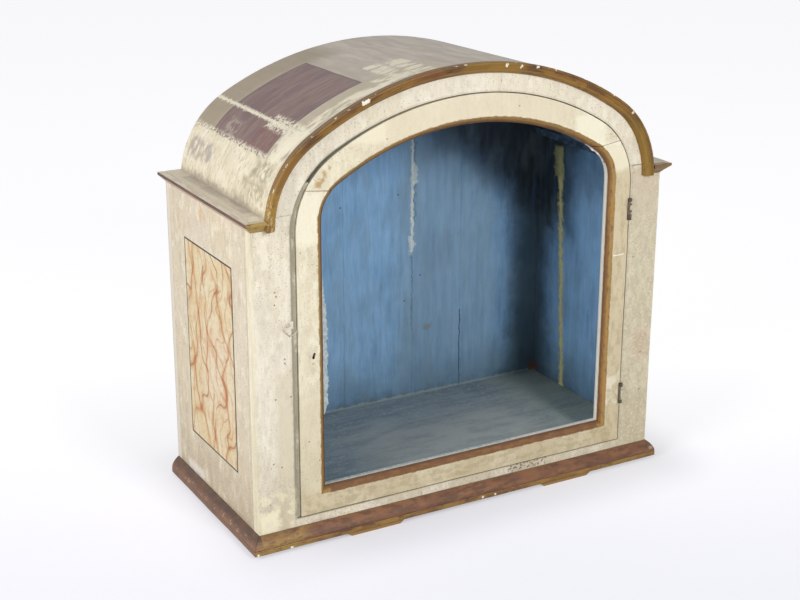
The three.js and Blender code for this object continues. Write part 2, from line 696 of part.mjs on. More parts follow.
// The lock's iron case, open towards the wood, with the key's pin and the guides that carry the bolt.
function addLock(group) {
  const { right, height, depth, wall } = lockCase;
  const y0 = doorBackY - depth;
  const innerY = doorBackY - wall;
  const left = -keyholeInset + fit;
  const outer = box(left, right, y0, doorBackY, -height / 2, height / 2);
  const inner = box(left + wall, right - wall, y0 - overrun, innerY, -height / 2 + wall, height / 2 - wall);
  const boltTop = bolt.above + bolt.height;
  const boltFrontY = boltBackY() - bolt.thick;
  const mouth = box(left - overrun, left + wall + overrun, boltFrontY - fit, innerY,
    bolt.above - fit, boltTop + fit);
  const guide = (z0) => box(left + wall - overrun / 2, right - wall + overrun / 2, boltFrontY, innerY + overrun / 2,
    z0, z0 + guideHeight);
  const talonRight = left + bolt.length - bolt.talon;
  const keyPin = bar(keyPinRadius, -innerY - overrun / 2, -y0 - overrun, 16).rotate([90, 0, 0]);
  const lowerGuide = guide(bolt.above - fit - guideHeight);
  const keySweep = box(left + bolt.length / 3, right - wall, y0 - overrun, innerY,
    bolt.above - fit - guideHeight - overrun, bolt.above - fit + overrun / 10);
  const shell = outer.subtract(inner).subtract(mouth);
  const caseSolid = shell.add(guide(boltTop + fit)).add(lowerGuide.subtract(keySweep)).add(keyPin);
  const lock = new THREE.Group();
  lock.position.set(keyholeX, 0, keyholeZ);
  group.add(lock);
  addPiece(lock, 'lock_case', caseSolid, iron);
  const blade = box(left, left + bolt.length, boltFrontY, boltBackY(), bolt.above, boltTop);
  const talon = box(talonRight - bolt.talon, talonRight, boltFrontY - overrun, boltBackY() + overrun,
    bolt.above - overrun, bolt.above + bolt.talonDepth);
  addPiece(lock, 'lock_bolt', blade.subtract(talon), iron);
}

function nailHole() {
  const hole = bar(nail.shank + fit, -faceY - nail.length, -faceY + overrun, 16);
  return hole.rotate([90, 0, 0]).translate(nailX, 0, nailZ);
}

// A bent wire that turns on a nail in the left stile, so that its tip swings over the door's edge.
function addCatch(group) {
  const hook = new THREE.Group();
  hook.position.set(nailX, faceY, nailZ);
  group.add(hook);
  const wireY = -wireRadius - fit - 0.1;
  const headY = wireY - wireRadius - fit;
  const profile = [
    new THREE.Vector2(0, -nail.length + overrun),
    new THREE.Vector2(nail.shank, -nail.length + 2 * nail.shank + overrun),
    new THREE.Vector2(nail.shank, -headY),
    new THREE.Vector2(nail.head, -headY),
    new THREE.Vector2(nail.head * 0.8, -headY + nail.headThick * 0.7),
    new THREE.Vector2(0, -headY + nail.headThick),
  ];
  const turned = new THREE.LatheGeometry(profile, 16);
  turned.rotateX(Math.PI);
  addPiece(hook, 'latch_nail', solidOf(turned), iron);

  const eyeStart = THREE.MathUtils.degToRad(-135);
  const eyeEnd = THREE.MathUtils.degToRad(130);
  const eyeSteps = 12;
  const points = [];
  for (let i = 0; i <= eyeSteps; i++) {
    const angle = eyeStart + (eyeEnd - eyeStart) * i / eyeSteps;
    points.push(new THREE.Vector3(eyeRadius * Math.cos(angle), wireY, eyeRadius * Math.sin(angle)));
  }
  for (const [x, z] of catchPoints) points.push(new THREE.Vector3(x, wireY, z));
  const path = new THREE.CatmullRomCurve3(points, false, 'centripetal');
  const section = new THREE.Shape().absarc(0, 0, wireRadius, 0, 2 * Math.PI);
  const wire = new THREE.ExtrudeGeometry(section, { steps: 60, curveSegments: 10, extrudePath: path });
  addPiece(hook, 'latch_wire', solidOf(wire), iron);
}

// The gilt moulding on the edge of the arch, in three lengths.
function addArchMoulding(group) {
  const outer = grown(vaultFront, archProud);
  const shape = new THREE.Shape();
  shape.moveTo(0, fit);
  shape.lineTo(0, archOut - archEdge);
  shape.lineTo(archEdge, archOut);
  shape.lineTo(archFillet, archOut);
  shape.lineTo(archFillet, archOut - archEdge);
  shape.quadraticCurveTo(archWidth * 0.85, archOut - archEdge, archWidth, archEdge);
  shape.lineTo(archWidth, fit);
  const profile = shape.getPoints(6);
  const rightJoint = Math.acos(archJoints[0] / outer.crown);
  const leftJoint = Math.PI - Math.acos(archJoints[1] / outer.crown);
  const clear = fit / 2 / outer.crown;
  const lengths = [['right', 0, rightJoint - clear], ['crown', rightJoint + clear, leftJoint - clear],
    ['left', leftJoint + clear, Math.PI]];
  for (const [name, from, to] of lengths) {
    const rings = archAngles(outer, from, to).map((angle) => profile.map(({ x: inwards, y: out }) => {
      const point = archPoint(grown(outer, -inwards), angle);
      return new THREE.Vector3(point.x, faceY - out, point.y);
    }));
    addPiece(group, `arch_moulding_${name}`, loft(profile, rings), gilt);
  }
}

const tabernacle = new THREE.Group();
const caseGroup = new THREE.Group();
const doorGroup = new THREE.Group();
tabernacle.add(caseGroup, doorGroup);

addBase(caseGroup);
addWalls(caseGroup);
addFloor(caseGroup);
addLedges(caseGroup);
addVault(caseGroup);
addFacade(caseGroup);
addStopStrip(caseGroup);
addArchMoulding(caseGroup);
addDoor(doorGroup);
addHinge(caseGroup, doorGroup, 'upper', hingeHeights.upper);
addHinge(caseGroup, doorGroup, 'lower', hingeHeights.lower);
addLock(doorGroup);
addCatch(caseGroup);

export default tabernacle;
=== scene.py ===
# %% [markdown]
# # An arched tabernacle, dressed round its solids
# The real piece is a small painted cupboard of pine boards: a gessoed front with an arched door,
# marbled sides, a vaulted top and gilt mouldings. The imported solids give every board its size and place.
# This script keeps the plain boards and the ironwork, and works out softer, worn skins for the rest.

# %% Load the solids
import math
from types import SimpleNamespace

import bpy
import numpy as np
from mathutils import Matrix, Vector


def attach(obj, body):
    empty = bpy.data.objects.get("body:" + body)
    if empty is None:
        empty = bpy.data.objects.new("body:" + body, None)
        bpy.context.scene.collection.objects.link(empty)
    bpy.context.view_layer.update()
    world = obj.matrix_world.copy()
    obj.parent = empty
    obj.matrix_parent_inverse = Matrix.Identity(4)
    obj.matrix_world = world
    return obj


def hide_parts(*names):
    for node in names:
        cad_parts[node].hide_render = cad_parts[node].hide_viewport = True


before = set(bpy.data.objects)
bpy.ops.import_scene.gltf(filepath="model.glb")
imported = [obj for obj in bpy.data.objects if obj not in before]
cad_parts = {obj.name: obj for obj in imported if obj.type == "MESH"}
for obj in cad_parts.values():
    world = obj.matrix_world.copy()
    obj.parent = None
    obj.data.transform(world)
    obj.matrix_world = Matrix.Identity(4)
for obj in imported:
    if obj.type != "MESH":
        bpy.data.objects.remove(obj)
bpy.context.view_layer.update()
scene = bpy.context.scene
MM = 0.001
HALF_WIDTH = 380.0  # of the body over its side walls, in mm

# %% [markdown]
# ## The camera
# The photograph looks down on the left corner from a little over two metres away. Its angle and focal
# length were worked out from the vanishing points of the boards.

# %% Camera
CAMERA_AT = Vector((-1.2475, -2.1718, 1.1825))
AZIMUTH, ELEVATION, ROLL = (math.radians(v) for v in (-29.804, 18.679, 0.319))
back = Vector((math.sin(AZIMUTH) * math.cos(ELEVATION), -math.cos(AZIMUTH) * math.cos(ELEVATION),
               math.sin(ELEVATION)))
level = Vector((math.cos(AZIMUTH), math.sin(AZIMUTH), 0))
upright = back.cross(level)
right = math.cos(ROLL) * level + math.sin(ROLL) * upright
up = math.cos(ROLL) * upright - math.sin(ROLL) * level

camera = bpy.data.objects.new("camera", bpy.data.cameras.new("camera"))
scene.collection.objects.link(camera)
turned = Matrix((right, up, back)).transposed().to_4x4()
camera.matrix_world = Matrix.Translation(CAMERA_AT) @ turned
camera.data.sensor_width = 36
camera.data.lens = 69.24
camera.data.shift_x, camera.data.shift_y = -0.02, -0.0151
scene.camera = camera
print("camera looks along", [round(v, 3) for v in -back])

# %% [markdown]
# ## Nodes, colours and coats
# Every finish is a small tree of nodes. One function adds a node with its settings and links, and one
# turns a written sRGB colour into the linear numbers that shaders use. A finish starts from the object's
# own millimetres, so a pattern keeps its real size, and is then built up coat by coat, as the real one was.

# %% Node helpers
def linear(code):
    """sRGB hex to linear: below 0.04045 divide by 12.92, above it raise (c + 0.055) / 1.055 to 2.4."""
    channels = [int(code[i:i + 2], 16) / 255 for i in (1, 3, 5)]
    return [c / 12.92 if c <= 0.04045 else ((c + 0.055) / 1.055) ** 2.4 for c in channels] + [1.0]


def add(tree, kind, inputs=None, **settings):
    """Adds one node: settings are its own properties, inputs are numbers, colours, nodes or sockets."""
    made = tree.nodes.new("ShaderNode" + kind)
    for name, value in settings.items():
        setattr(made, name, value)
    for key, value in (inputs or {}).items():
        if isinstance(value, bpy.types.Node):
            value = next(s for s in value.outputs if s.enabled)
        if isinstance(value, bpy.types.NodeSocket):
            tree.links.new(value, made.inputs[key])
        else:
            made.inputs[key].default_value = linear(value) if isinstance(value, str) else value
    return made


def new_finish(name, colour, rough, metal=0.0):
    """A material with its ground colour, and the object's own coordinates in millimetres."""
    material = bpy.data.materials.new(name)
    material.use_nodes = True
    tree = material.node_tree
    place = add(tree, "TexCoord").outputs["Object"]
    mm = add(tree, "VectorMath", {0: place, "Scale": 1000.0}, operation="SCALE")
    band = add(tree, "Attribute", attribute_name="band").outputs["Fac"]
    return SimpleNamespace(material=material, tree=tree, mm=mm, band=band,
                           colour=colour, rough=rough, metal=metal, height=0.0)


def relief(f, mask, tall):
    """Raises the surface by this many mm where the mask is, and sinks it if negative."""
    f.height = add(f.tree, "Math", {0: mask, 1: tall * MM, 2: f.height}, operation="MULTIPLY_ADD")


def coat(f, masks, colour, share=1.0, rough=None, metal=None, tall=0.0):
    """Lays one coat where all the masks are: its colour, roughness, metal and height in mm over the last."""
    cover = share
    for mask in masks if isinstance(masks, (list, tuple)) else [masks]:
        cover = add(f.tree, "Math", {0: mask, 1: cover}, operation="MULTIPLY")
    f.colour = add(f.tree, "Mix", {0: cover, 6: f.colour, 7: colour}, data_type="RGBA")
    if rough is not None:
        f.rough = add(f.tree, "Mix", {0: cover, 2: f.rough, 3: rough}, data_type="FLOAT")
    if metal is not None:
        f.metal = add(f.tree, "Mix", {0: cover, 2: f.metal, 3: metal}, data_type="FLOAT")
    if tall:
        relief(f, cover, tall)


def seal(f):
    """Joins the last coat to the shader; heights become a bump."""
    shader = f.tree.nodes["Principled BSDF"]
    bump = add(f.tree, "Bump", {"Strength": 1.0, "Distance": 1.0, "Height": f.height})
    for key, value in (("Base Color", f.colour), ("Roughness", f.rough), ("Metallic", f.metal), ("Normal", bump)):
        if isinstance(value, bpy.types.Node):
            f.tree.links.new(next(s for s in value.outputs if s.enabled), shader.inputs[key])
        else:
            shader.inputs[key].default_value = linear(value) if isinstance(value, str) else value


# %% [markdown]
# ## Marks
# Old paint never ends on a clean line. Blotches are the places where a noise as coarse as the wear rises
# above a level. A mark is the inside of a box whose sides are pushed about by noise, so the same few
# nodes make a filler strip, a crack, a stain or a chip.

# %% Marks
ROUND, ANY, FAR = (1, 1, 1), (None, None, None), 4000.0


def blotches(f, size, above=0.5, soft=0.04, stretch=ROUND, shift=0.0, detail=4.0, where=None):
    """1 where a noise of this size in mm is above the level, fading over soft each way; 0 elsewhere."""
    place = add(f.tree, "Mapping", {"Vector": where or f.mm, "Location": (shift,) * 3, "Scale": stretch})
    noise = add(f.tree, "TexNoise", {"Vector": place, "Scale": 1 / size, "Detail": detail, "Roughness": 0.6})
    return add(f.tree, "MapRange", {0: noise, 1: above - soft, 2: above + soft}, interpolation_type="SMOOTHSTEP")


def mottle(f, masks, *rows, detail=4.0, where=None, **more):
    """Coats in blotches inside the masks. Each row is the size, level, fade, stretch and shift of the
    blotches, and the colour and share of the coat."""
    for size, above, soft, stretch, shift, colour, share in rows:
        coat(f, [*masks, blotches(f, size, above, soft, stretch, shift, detail, where)], colour, share, **more)


def pushed(f, size, reach, shift=0.0, where=None, detail=4.0):
    """The coordinates, pushed about by up to about reach mm by a noise of this size."""
    where = where or f.mm
    place = add(f.tree, "Mapping", {"Vector": where, "Location": (shift,) * 3})
    noise = add(f.tree, "TexNoise", {"Vector": place, "Scale": 1 / size, "Detail": detail, "Roughness": 0.65})
    centred = add(f.tree, "VectorMath", {0: noise.outputs["Color"], 1: (0.5,) * 3}, operation="SUBTRACT")
    return add(f.tree, "VectorMath", {0: centred, 1: (4 * reach,) * 3, 2: where}, operation="MULTIPLY_ADD")


def inside(f, low, high, soft=1.0, where=None):
    """1 inside the box from low to high, where None has no end, and 0 outside it: the largest of the
    three distances from the middle, each less its half size, fades across soft mm."""
    low = [-FAR if v is None else v for v in low]
    high = [FAR if v is None else v for v in high]
    middle = [(a + b) / 2 for a, b in zip(low, high)]
    half = [(b - a) / 2 for a, b in zip(low, high)]
    away = add(f.tree, "VectorMath", {0: where or f.mm, 1: middle}, operation="SUBTRACT")
    away = add(f.tree, "VectorMath", {0: away}, operation="ABSOLUTE")
    away = add(f.tree, "VectorMath", {0: away, 1: half}, operation="SUBTRACT")
    x, y, z = add(f.tree, "SeparateXYZ", {0: away}).outputs
    worst = add(f.tree, "Math", {0: x, 1: y}, operation="MAXIMUM")
    worst = add(f.tree, "Math", {0: worst, 1: z}, operation="MAXIMUM")
    return add(f.tree, "MapRange", {0: worst, 1: soft / 2, 2: -soft / 2}, interpolation_type="SMOOTHSTEP")


def on_front(f, low, high, soft, where=None):
    """The mask of a patch of the front, whose corners are given across and up."""
    return inside(f, (low[0], None, low[1]), (high[0], -120, high[1]), soft, where)


def front_patches(f, where, *rows):
    """Coats on patches of the front: each row is the low and high corner, the fade, the colour and the share."""
    for low, high, soft, colour, share in rows:
        coat(f, on_front(f, low, high, soft, where), colour, share)


def spots(f, points, radius, where=None):
    """1 within radius of any of the points, which are given across and up, whatever the depth."""
    flat = add(f.tree, "VectorMath", {0: where or f.mm, 1: (1, 0, 1)}, operation="MULTIPLY")
    nearest = 1e3
    for x, z in points:
        away = add(f.tree, "VectorMath", {0: flat, 1: (x, 0, z)}, operation="DISTANCE").outputs["Value"]
        nearest = add(f.tree, "Math", {0: away, 1: nearest}, operation="MINIMUM")
    return add(f.tree, "MapRange", {0: nearest, 1: radius + 0.5, 2: radius - 0.5})


def between(f, low, high, soft=0.3, ragged=0.0, size=9.0):
    """1 where the band attribute is from low to high, with ends pushed about by noise; 0 outside."""
    band = f.band
    if ragged:
        noise = add(f.tree, "TexNoise", {"Vector": f.mm, "Scale": 1 / size, "Detail": 4.0})
        centred = add(f.tree, "Math", {0: noise, 1: 0.5}, operation="SUBTRACT")
        band = add(f.tree, "Math", {0: centred, 1: 4 * ragged, 2: band}, operation="MULTIPLY_ADD")
    away = add(f.tree, "Math", {0: band, 1: (low + high) / 2}, operation="SUBTRACT")
    away = add(f.tree, "Math", {0: away}, operation="ABSOLUTE")
    return add(f.tree, "MapRange", {0: away, 1: (high - low) / 2 + soft / 2, 2: (high - low) / 2 - soft / 2},
               interpolation_type="SMOOTHSTEP")


def laid_out_mm(f):
    """The mesh's laid_out map, which is in metres, in millimetres."""
    laid_out = add(f.tree, "UVMap", uv_map="laid_out").outputs["UV"]
    return add(f.tree, "VectorMath", {0: laid_out, "Scale": 1000.0}, operation="SCALE")


# %% [markdown]
# ## White oil paint
# The white is oil paint over gesso on pine: nearly matt, yellowed in broad clouds, grey with handling and
# speckled with dirt towards the bottom. The same coats serve the front, the door and the sides, with
# colours measured on each.

# %% White paint coats
STREAKED = (1, 1, 0.4)


def white_coats(f, yellowed, greyed, grime, bottom=0.5):
    """Oil paint over gesso, IOR 1.5: clouds of yellow 110 mm wide, grey rubs 30 mm, streaks 6 mm, specks 3 mm."""
    low = inside(f, ANY, (None, None, 110), 240)
    mottle(f, [], (110, 0.48, 0.12, STREAKED, 0, yellowed, 1.0))
    mottle(f, [], (30, 0.55, 0.1, STREAKED, 31, greyed, 0.5), rough=0.6)
    mottle(f, [], (6, 0.54, 0.12, STREAKED, 18, greyed, 0.45))
    mottle(f, [], (3.2, 0.52, 0.2, (1, 1, 0.1), 29, greyed, 0.35), detail=2)
    mottle(f, [], (17, 0.585, 0.07, (1, 1, 0.6), 61, "#f5efda", 0.4), tall=0.05)
    mottle(f, [], (12, 0.6, 0.08, (1, 1, 0.5), 83, grime, 0.22))
    mottle(f, [low], (45, 0.47, 0.1, STREAKED, 12, grime, bottom))
    mottle(f, [low], (3.4, 0.59, 0.06, ROUND, 77, grime, 0.7), detail=2, tall=-0.05)
    mottle(f, [], (2.4, 0.69, 0.03, ROUND, 7, "#786a52", 0.65), detail=1, tall=-0.1)
    relief(f, blotches(f, 5, 0.5, 0.3, (1, 1, 0.25)), 0.12)
    relief(f, blotches(f, 26, 0.5, 0.35, shift=3), 0.5)


# %% [markdown]
# The front's own marks come next: the worn right stile and left corner, painted shade in the gap round the door and
# along the left of the opening, woodworm holes, and the blue of the inside on the ledges where they run in under the
# vault, painted near-black towards the right as shade.

# %% Front paint
CREAM_RIM = "#f0e8c8"
facade = f = new_finish("cream_oil_paint_on_gesso", "#ede5d1", 0.5)
white_coats(f, "#e6dcc0", "#d3c9b4", "#b0a182")
ragged = pushed(f, 12, 4)
front_patches(
    f, ragged, ((318, 20), (390, 540), 30, "#cfc4a4", 0.75), ((330, 20), (390, 130), 30, "#bfb28f", 0.4),
    ((345, 200), (372, 250), 22, "#c9a78c", 0.5), ((-345, 20), (-313, 300), 20, "#c9bc9a", 0.45),
    ((-384, 20), (-378, 530), 5, CREAM_RIM, 0.55), ((-378, 24), (-345, 68), 12, "#f0e8cc", 0.7),
    ((-378, 300), (-370, 380), 8, "#efe9cf", 0.5), ((-366, 470), (-352, 520), 7, "#f2ebd2", 0.5),
    ((-306, 349), (-298, 378), 4, "#f4efdd", 0.7), ((-400, 15), (400, 27), 7, "#8f8566", 0.75),
    ((322, 470), (324, 549), 1.4, "#a39a86", 0.7), ((-340, 120), (-318, 240), 16, "#d9ceb2", 0.5))
# Along the edge of the opening runs a grey line, partly grime and partly painted shade; down the left it is darker, a
# painted shadow of the door's edge on the front.
coat(f, between(f, 1.93, 2.5, 0.1, 0.02), "#a89e84", 0.4)
left_half = inside(f, (None, None, 44), (-150, None, 660), 40)
coat(f, [between(f, 1.95, 2.5, 0.03, 0.006), left_half], "#8a816b", 0.85)
stile = on_front(f, (316, 10), (390, 545), 12, ragged)
mottle(f, [stile], (9, 0.5, 0.14, (1, 1, 0.5), 140, "#b3a78a", 0.5), (5, 0.58, 0.08, ROUND, 150, "#e9dfc4", 0.5))
mottle(f, [stile], (3, 0.64, 0.05, ROUND, 160, "#7d705a", 0.5), tall=-0.1)
front_patches(f, ragged, ((318, 470), (372, 540), 26, "#cdbba4", 0.45))
corner = on_front(f, (-384, 15), (-376.5, 535), 4, ragged)
mottle(f, [corner], (9, 0.5, 0.2, (1, 1, 0.12), 170, "#b9aa7c", 0.45))
left_foot = on_front(f, (-378, 22), (-315, 100), 20, ragged)
mottle(f, [left_foot], (18, 0.5, 0.06, ROUND, 180, "#f3e9c4", 0.55))
# Painted shade: the hole's edge, down in the gap round the door, is greyed, less so on the right, and near-black at
# the upper left.
gap = between(f, 2.02, 4.5, 0.04)
coat(f, gap, "#96907a", 0.8)
coat(f, [gap, inside(f, (200, None, None), ANY, 120)], "#bdb49d", 0.85)
coat(f, [gap, inside(f, (-335, None, 556), (-70, None, 680), 50)], "#171a20")
WORMHOLES = [(-343, 433), (-344, 413), (-341, 426), (-329, 323), (-346, 259), (-320, 259), (332, 387), (-329, 316),
             (359, 207), (361, 136), (-352, 151), (-338, 143)]
coat(f, spots(f, WORMHOLES, 1.3), "#5f574a", 0.9, tall=-0.3)
coat(f, on_front(f, (320, 549), (344, 551), 1), "#8d8676", 0.8, tall=-0.3)
mottle(f, [on_front(f, (86, 36), (165, 48), 4)], (5, 0.54, 0.04, ROUND, 0, "#54493a", 0.8))
coat(f, inside(f, (None, -140, 530), (None, None, 560), 4, ragged), "#d0c4ae", 0.7)
# Painted shade in the crease where the left ledge meets the foot of the vault.
mottle(f, [inside(f, (-371, -120, 545), (-354, 130, 560), 9, ragged)],
       (16, 0.42, 0.12, (1, 0.2, 1), 0, "#a0948b", 0.6))
UNDER_VAULT = (346.3, None, 560)
coat(f, inside(f, (-346.3, -143, 500), UNDER_VAULT, 0.6), "#6d8aa2")
# From x 200 the ledges under the vault are painted near-black: painted shade from the arch.
coat(f, inside(f, (200, -143, 500), UNDER_VAULT, 12, pushed(f, 30, 8)), "#303c45", 0.9)
mottle(f, [inside(f, (200, -143, 500), UNDER_VAULT, 12)], (12, 0.5, 0.1, (1, 0.5, 1), 190, "#161d26", 0.85))

# %% [markdown]
# The door is yellower, with brown dirt on the hinge side and along the bottom rail, wear below the
# keyhole, and a trail of brown stain at the left haunch. Its chamfer was gilt, and the hole's edge wasn't; under the
# head that edge is painted dark brown as shade.

# %% Door paint
door = f = new_finish("yellowed_cream_oil_paint", "#ece4ca", 0.48)
white_coats(f, "#e4dabb", "#d2c7a9", "#a3926e", bottom=0.6)
ragged = pushed(f, 14, 5)
front_patches(
    f, ragged, ((-210, 640), (190, 710), 50, "#dfd3b6", 0.7), ((262, 20), (330, 575), 26, "#cdbd98", 0.75),
    ((-320, 20), (-255, 250), 60, "#d2c5a2", 0.55), ((-300, 40), (300, 84), 12, "#c9b994", 0.6),
    ((200, 590), (262, 646), 10, "#f3edd2", 0.8), ((252, 590), (312, 596), 8, "#f5efd6", 0.8),
    ((262, 545), (316, 590), 14, "#f0e8cc", 0.8), ((-312, 500), (-262, 580), 14, "#f2ebd0", 0.8),
    ((-250, 645), (-150, 690), 12, "#f0e8cc", 0.6))
for low, high, soft, row in (((-300, 40), (300, 84), 8, (9, 0.53, 0.1, (0.5, 1, 1), 0, "#a08f69", 0.45)),
                             ((262, 20), (330, 530), 24, (8, 0.55, 0.14, STREAKED, 0, "#a5946c", 0.5)),
                             ((282, 120), (316, 175), 10, (14, 0.48, 0.08, ROUND, 0, "#f1ead2", 0.6))):
    mottle(f, [on_front(f, low, high, soft, ragged)], row)
for x, z, reach in ((-268, 590, 5), (-263, 598, 4), (-256, 606, 3), (-247, 616, 2.5)):
    front_patches(f, ragged, ((x - reach, z - reach), (x + reach, z + reach), 6, "#b08a4c", 0.8))
DOOR_WORMHOLES = [(-150, 648), (-132, 640), (90, 675), (-290, 176), (-272, 140)]
coat(f, spots(f, DOOR_WORMHOLES, 1.2), "#5f574a", 0.8, tall=-0.3)
coat(f, spots(f, [(-278.6, 321.4), (-279.4, 318.6), (-280.2, 316)], 2.2), "#15110d")
coat(f, spots(f, [(-281, 306)], 1.8), "#b5a682", 0.8)
front_patches(f, pushed(f, 9, 1.5), ((289, 394), (311, 396), 1, "#f6f1e2", 0.9))
gilt_edge = between(f, 1.97, 3.0, 0.06, 0.03)
coat(f, gilt_edge, "#7c5122", rough=0.55)
coat(f, [gilt_edge, between(f, 1.9, 2.42, 0.25, 0.06)], "#a1854c", 0.8)
mottle(f, [gilt_edge], (16, 0.52, 0.12, (1, 1, 0.3), 5, "#9f7430", 0.5),
       (5, 0.6, 0.08, (1, 1, 0.5), 50, "#52391f", 0.6))
at_bottom = on_front(f, (-254, 70), (272, 94), 4, ragged)
coat(f, [gilt_edge, at_bottom], "#6e4629", 0.9, metal=0.0)
mottle(f, [gilt_edge, at_bottom], (7, 0.56, 0.12, (0.4, 1, 1), 80, "#97703e", 0.4))
coat(f, [gilt_edge, between(f, 2.7, 3.1, 0.2, 0.05)], "#4b331a", 0.65)
coat(f, between(f, 3.03, 3.97, 0.05, 0.03), "#e2dccd", 0.9)
# Painted shade: above 558 mm the hole's edge is dark brown.
coat(f, [between(f, 3.03, 3.97, 0.05), inside(f, (None, None, 558), ANY, 3)], "#4e3c28")
at_back = inside(f, (None, -147.4, None), ANY, 0.4)
coat(f, at_back, "#ddd2b4", rough=0.6, metal=0.0)
mottle(f, [at_back], (20, 0.5, 0.12, (1, 1, 0.3), 120, "#cbbd9a", 0.6))
coat(f, inside(f, (-307, -156, 288.2), (-270.6, -147.4, 349.8), 0.3), "#a5855a", rough=0.8, metal=0.0)
HINGE_LEVELS = (137.5, 474.5)
# Painted shade: the hinge mortises and grooves in both stiles are dark brown.
for f in (facade, door):
    for z in HINGE_LEVELS:
        coat(f, inside(f, (310, -163.8, z - 20), (325, -149, z + 20), 0.6), "#5c4833", 0.9)
    seal(f)

# %% [markdown]
# ## Marbled sides
# The sides are a cooler, pinkish white. In the middle of each is a panel of false marble: an ochre cream
# ground, orange-brown veins that lean both ways and darken where they cross, and a thin black line round
# it. The veins are straight lines seen through coordinates that a slow noise has pushed about.

# %% Side paint with its marble panel
side_paint = f = new_finish("pinkish_grey_oil_paint_and_false_marble", "#dccfb8", 0.52)
white_coats(f, "#d9caaa", "#cabca5", "#a08d70", bottom=0.6)
ragged = pushed(f, 12, 4)
# A darker band on each side, just behind the front frame's edge, is painted shade along the seam; the cream rim is
# paint.
for x in (-HALF_WIDTH, HALF_WIDTH):
    for y0, y1, soft, colour in ((-145, -139, 3, "#b9ae8c"), (-152, -147, 2, CREAM_RIM)):
        coat(f, inside(f, (x - 9, y0, 20), (x + 9, y1, 540), soft, ragged), colour, 0.5)
coat(f, inside(f, (None, 60, 20), (None, 130, 52), 14, ragged), "#e9e2d6", 0.7)
coat(f, inside(f, (None, -150, 15), (None, 180, 36), 12, ragged), "#8f8067", 0.5)
for y, z, reach in ((30, 522, 5), (31, 512, 6), (32, 503, 4), (15, 511, 3)):
    stain = inside(f, (None, y - reach, z - 6), (-300, y + reach, z + 6), 6, ragged)
    coat(f, stain, "#cf9f5c", 0.6)
y0, y1, z0, z1 = -88, 106, 110, 456
slightly = pushed(f, 25, 0.3)
panel = inside(f, (None, y0 + 3.8, z0 + 2.8), (None, y1 - 2.7, z1 - 3.0), 0.6, slightly)
coat(f, inside(f, (None, y0, z0), (None, y1, z1), 0.6), "#231e18")
coat(f, panel, "#ddd1ae")
mottle(f, [panel], (50, 0.47, 0.12, ROUND, 4, "#d2b27c", 0.5), detail=2)
pale = inside(f, (None, -70, 190), (None, 40, 330), 60, pushed(f, 50, 20))
coat(f, [panel, pale], "#e2d2b9", 0.6)


def off_veins(f, lean, apart, shift):
    """How far a point is in mm from the nearest of a set of straight lines this far apart, leaning by these
    degrees and seen through coordinates that a slow noise pushes far and a fine one a little."""
    fine = pushed(f, 11, 1.5, 17 + shift, detail=2)
    slow = pushed(f, 90, 30, 41 + shift, where=fine, detail=1.2)
    leaning = add(f.tree, "Mapping", {"Vector": slow, "Rotation": (math.radians(lean), 0, 0)})
    across = add(f.tree, "SeparateXYZ", {0: leaning}).outputs["Y"]
    return add(f.tree, "Math", {0: across, 1: apart / 2}, operation="PINGPONG")


halos = []
for lean, apart, shift, thick, share in ((20, 56, 0, 1.0, 0.8), (-24, 64, 9, 1.0, 0.8), (7, 27, 21, 0.5, 0.4)):
    away = off_veins(f, lean, apart, shift)
    wet = blotches(f, 52, 0.45, 0.1, (1, 1, 0.6), 29 + shift, 2)
    halos.append(add(f.tree, "MapRange", {0: away, 1: 11.0 * thick, 2: 1.0}, interpolation_type="SMOOTHSTEP"))
    drawn_line = add(f.tree, "MapRange", {0: away, 1: 2.8 * thick, 2: 0.6})
    coat(f, [panel, halos[-1], wet], "#c48e50", 0.75 * share)
    mottle(f, [panel, drawn_line], (30, 0.42, 0.1, ROUND, 57 + shift, "#94562a", share), detail=2)
coat(f, [panel, halos[0], halos[1]], "#a85c28", 0.85)
mottle(f, [panel], (26, 0.62, 0.08, ROUND, 51, "#c08040", 0.4), detail=2)
mottle(f, [panel], (5, 0.58, 0.1, ROUND, 23, "#b98e5a", 0.35))
seal(f)

# %% [markdown]
# ## Blue distemper inside
# The inside is a brushed distemper blue, thin and streaky, with the vertical strokes of a wide brush. Pale
# filler was pushed into the joints. The top, the far corner, the upper right wall and a line beside the filler are
# darkened with painted shade.

# %% Blue distemper
FILLER = "#e2e8dc"


def blue_coats(f, light, dark, stretch):
    """Matt distemper: brush streaks 8 mm wide and ten times as long over cloudy patches 80 mm wide."""
    mottle(f, [], (80, 0.5, 0.14, ROUND, 40, dark, 0.5))
    mottle(f, [], (9, 0.5, 0.14, stretch, 0, light, 0.5), tall=0.08)
    mottle(f, [], (2.4, 0.52, 0.2, stretch, 0, dark, 0.35), detail=2, tall=0.04)


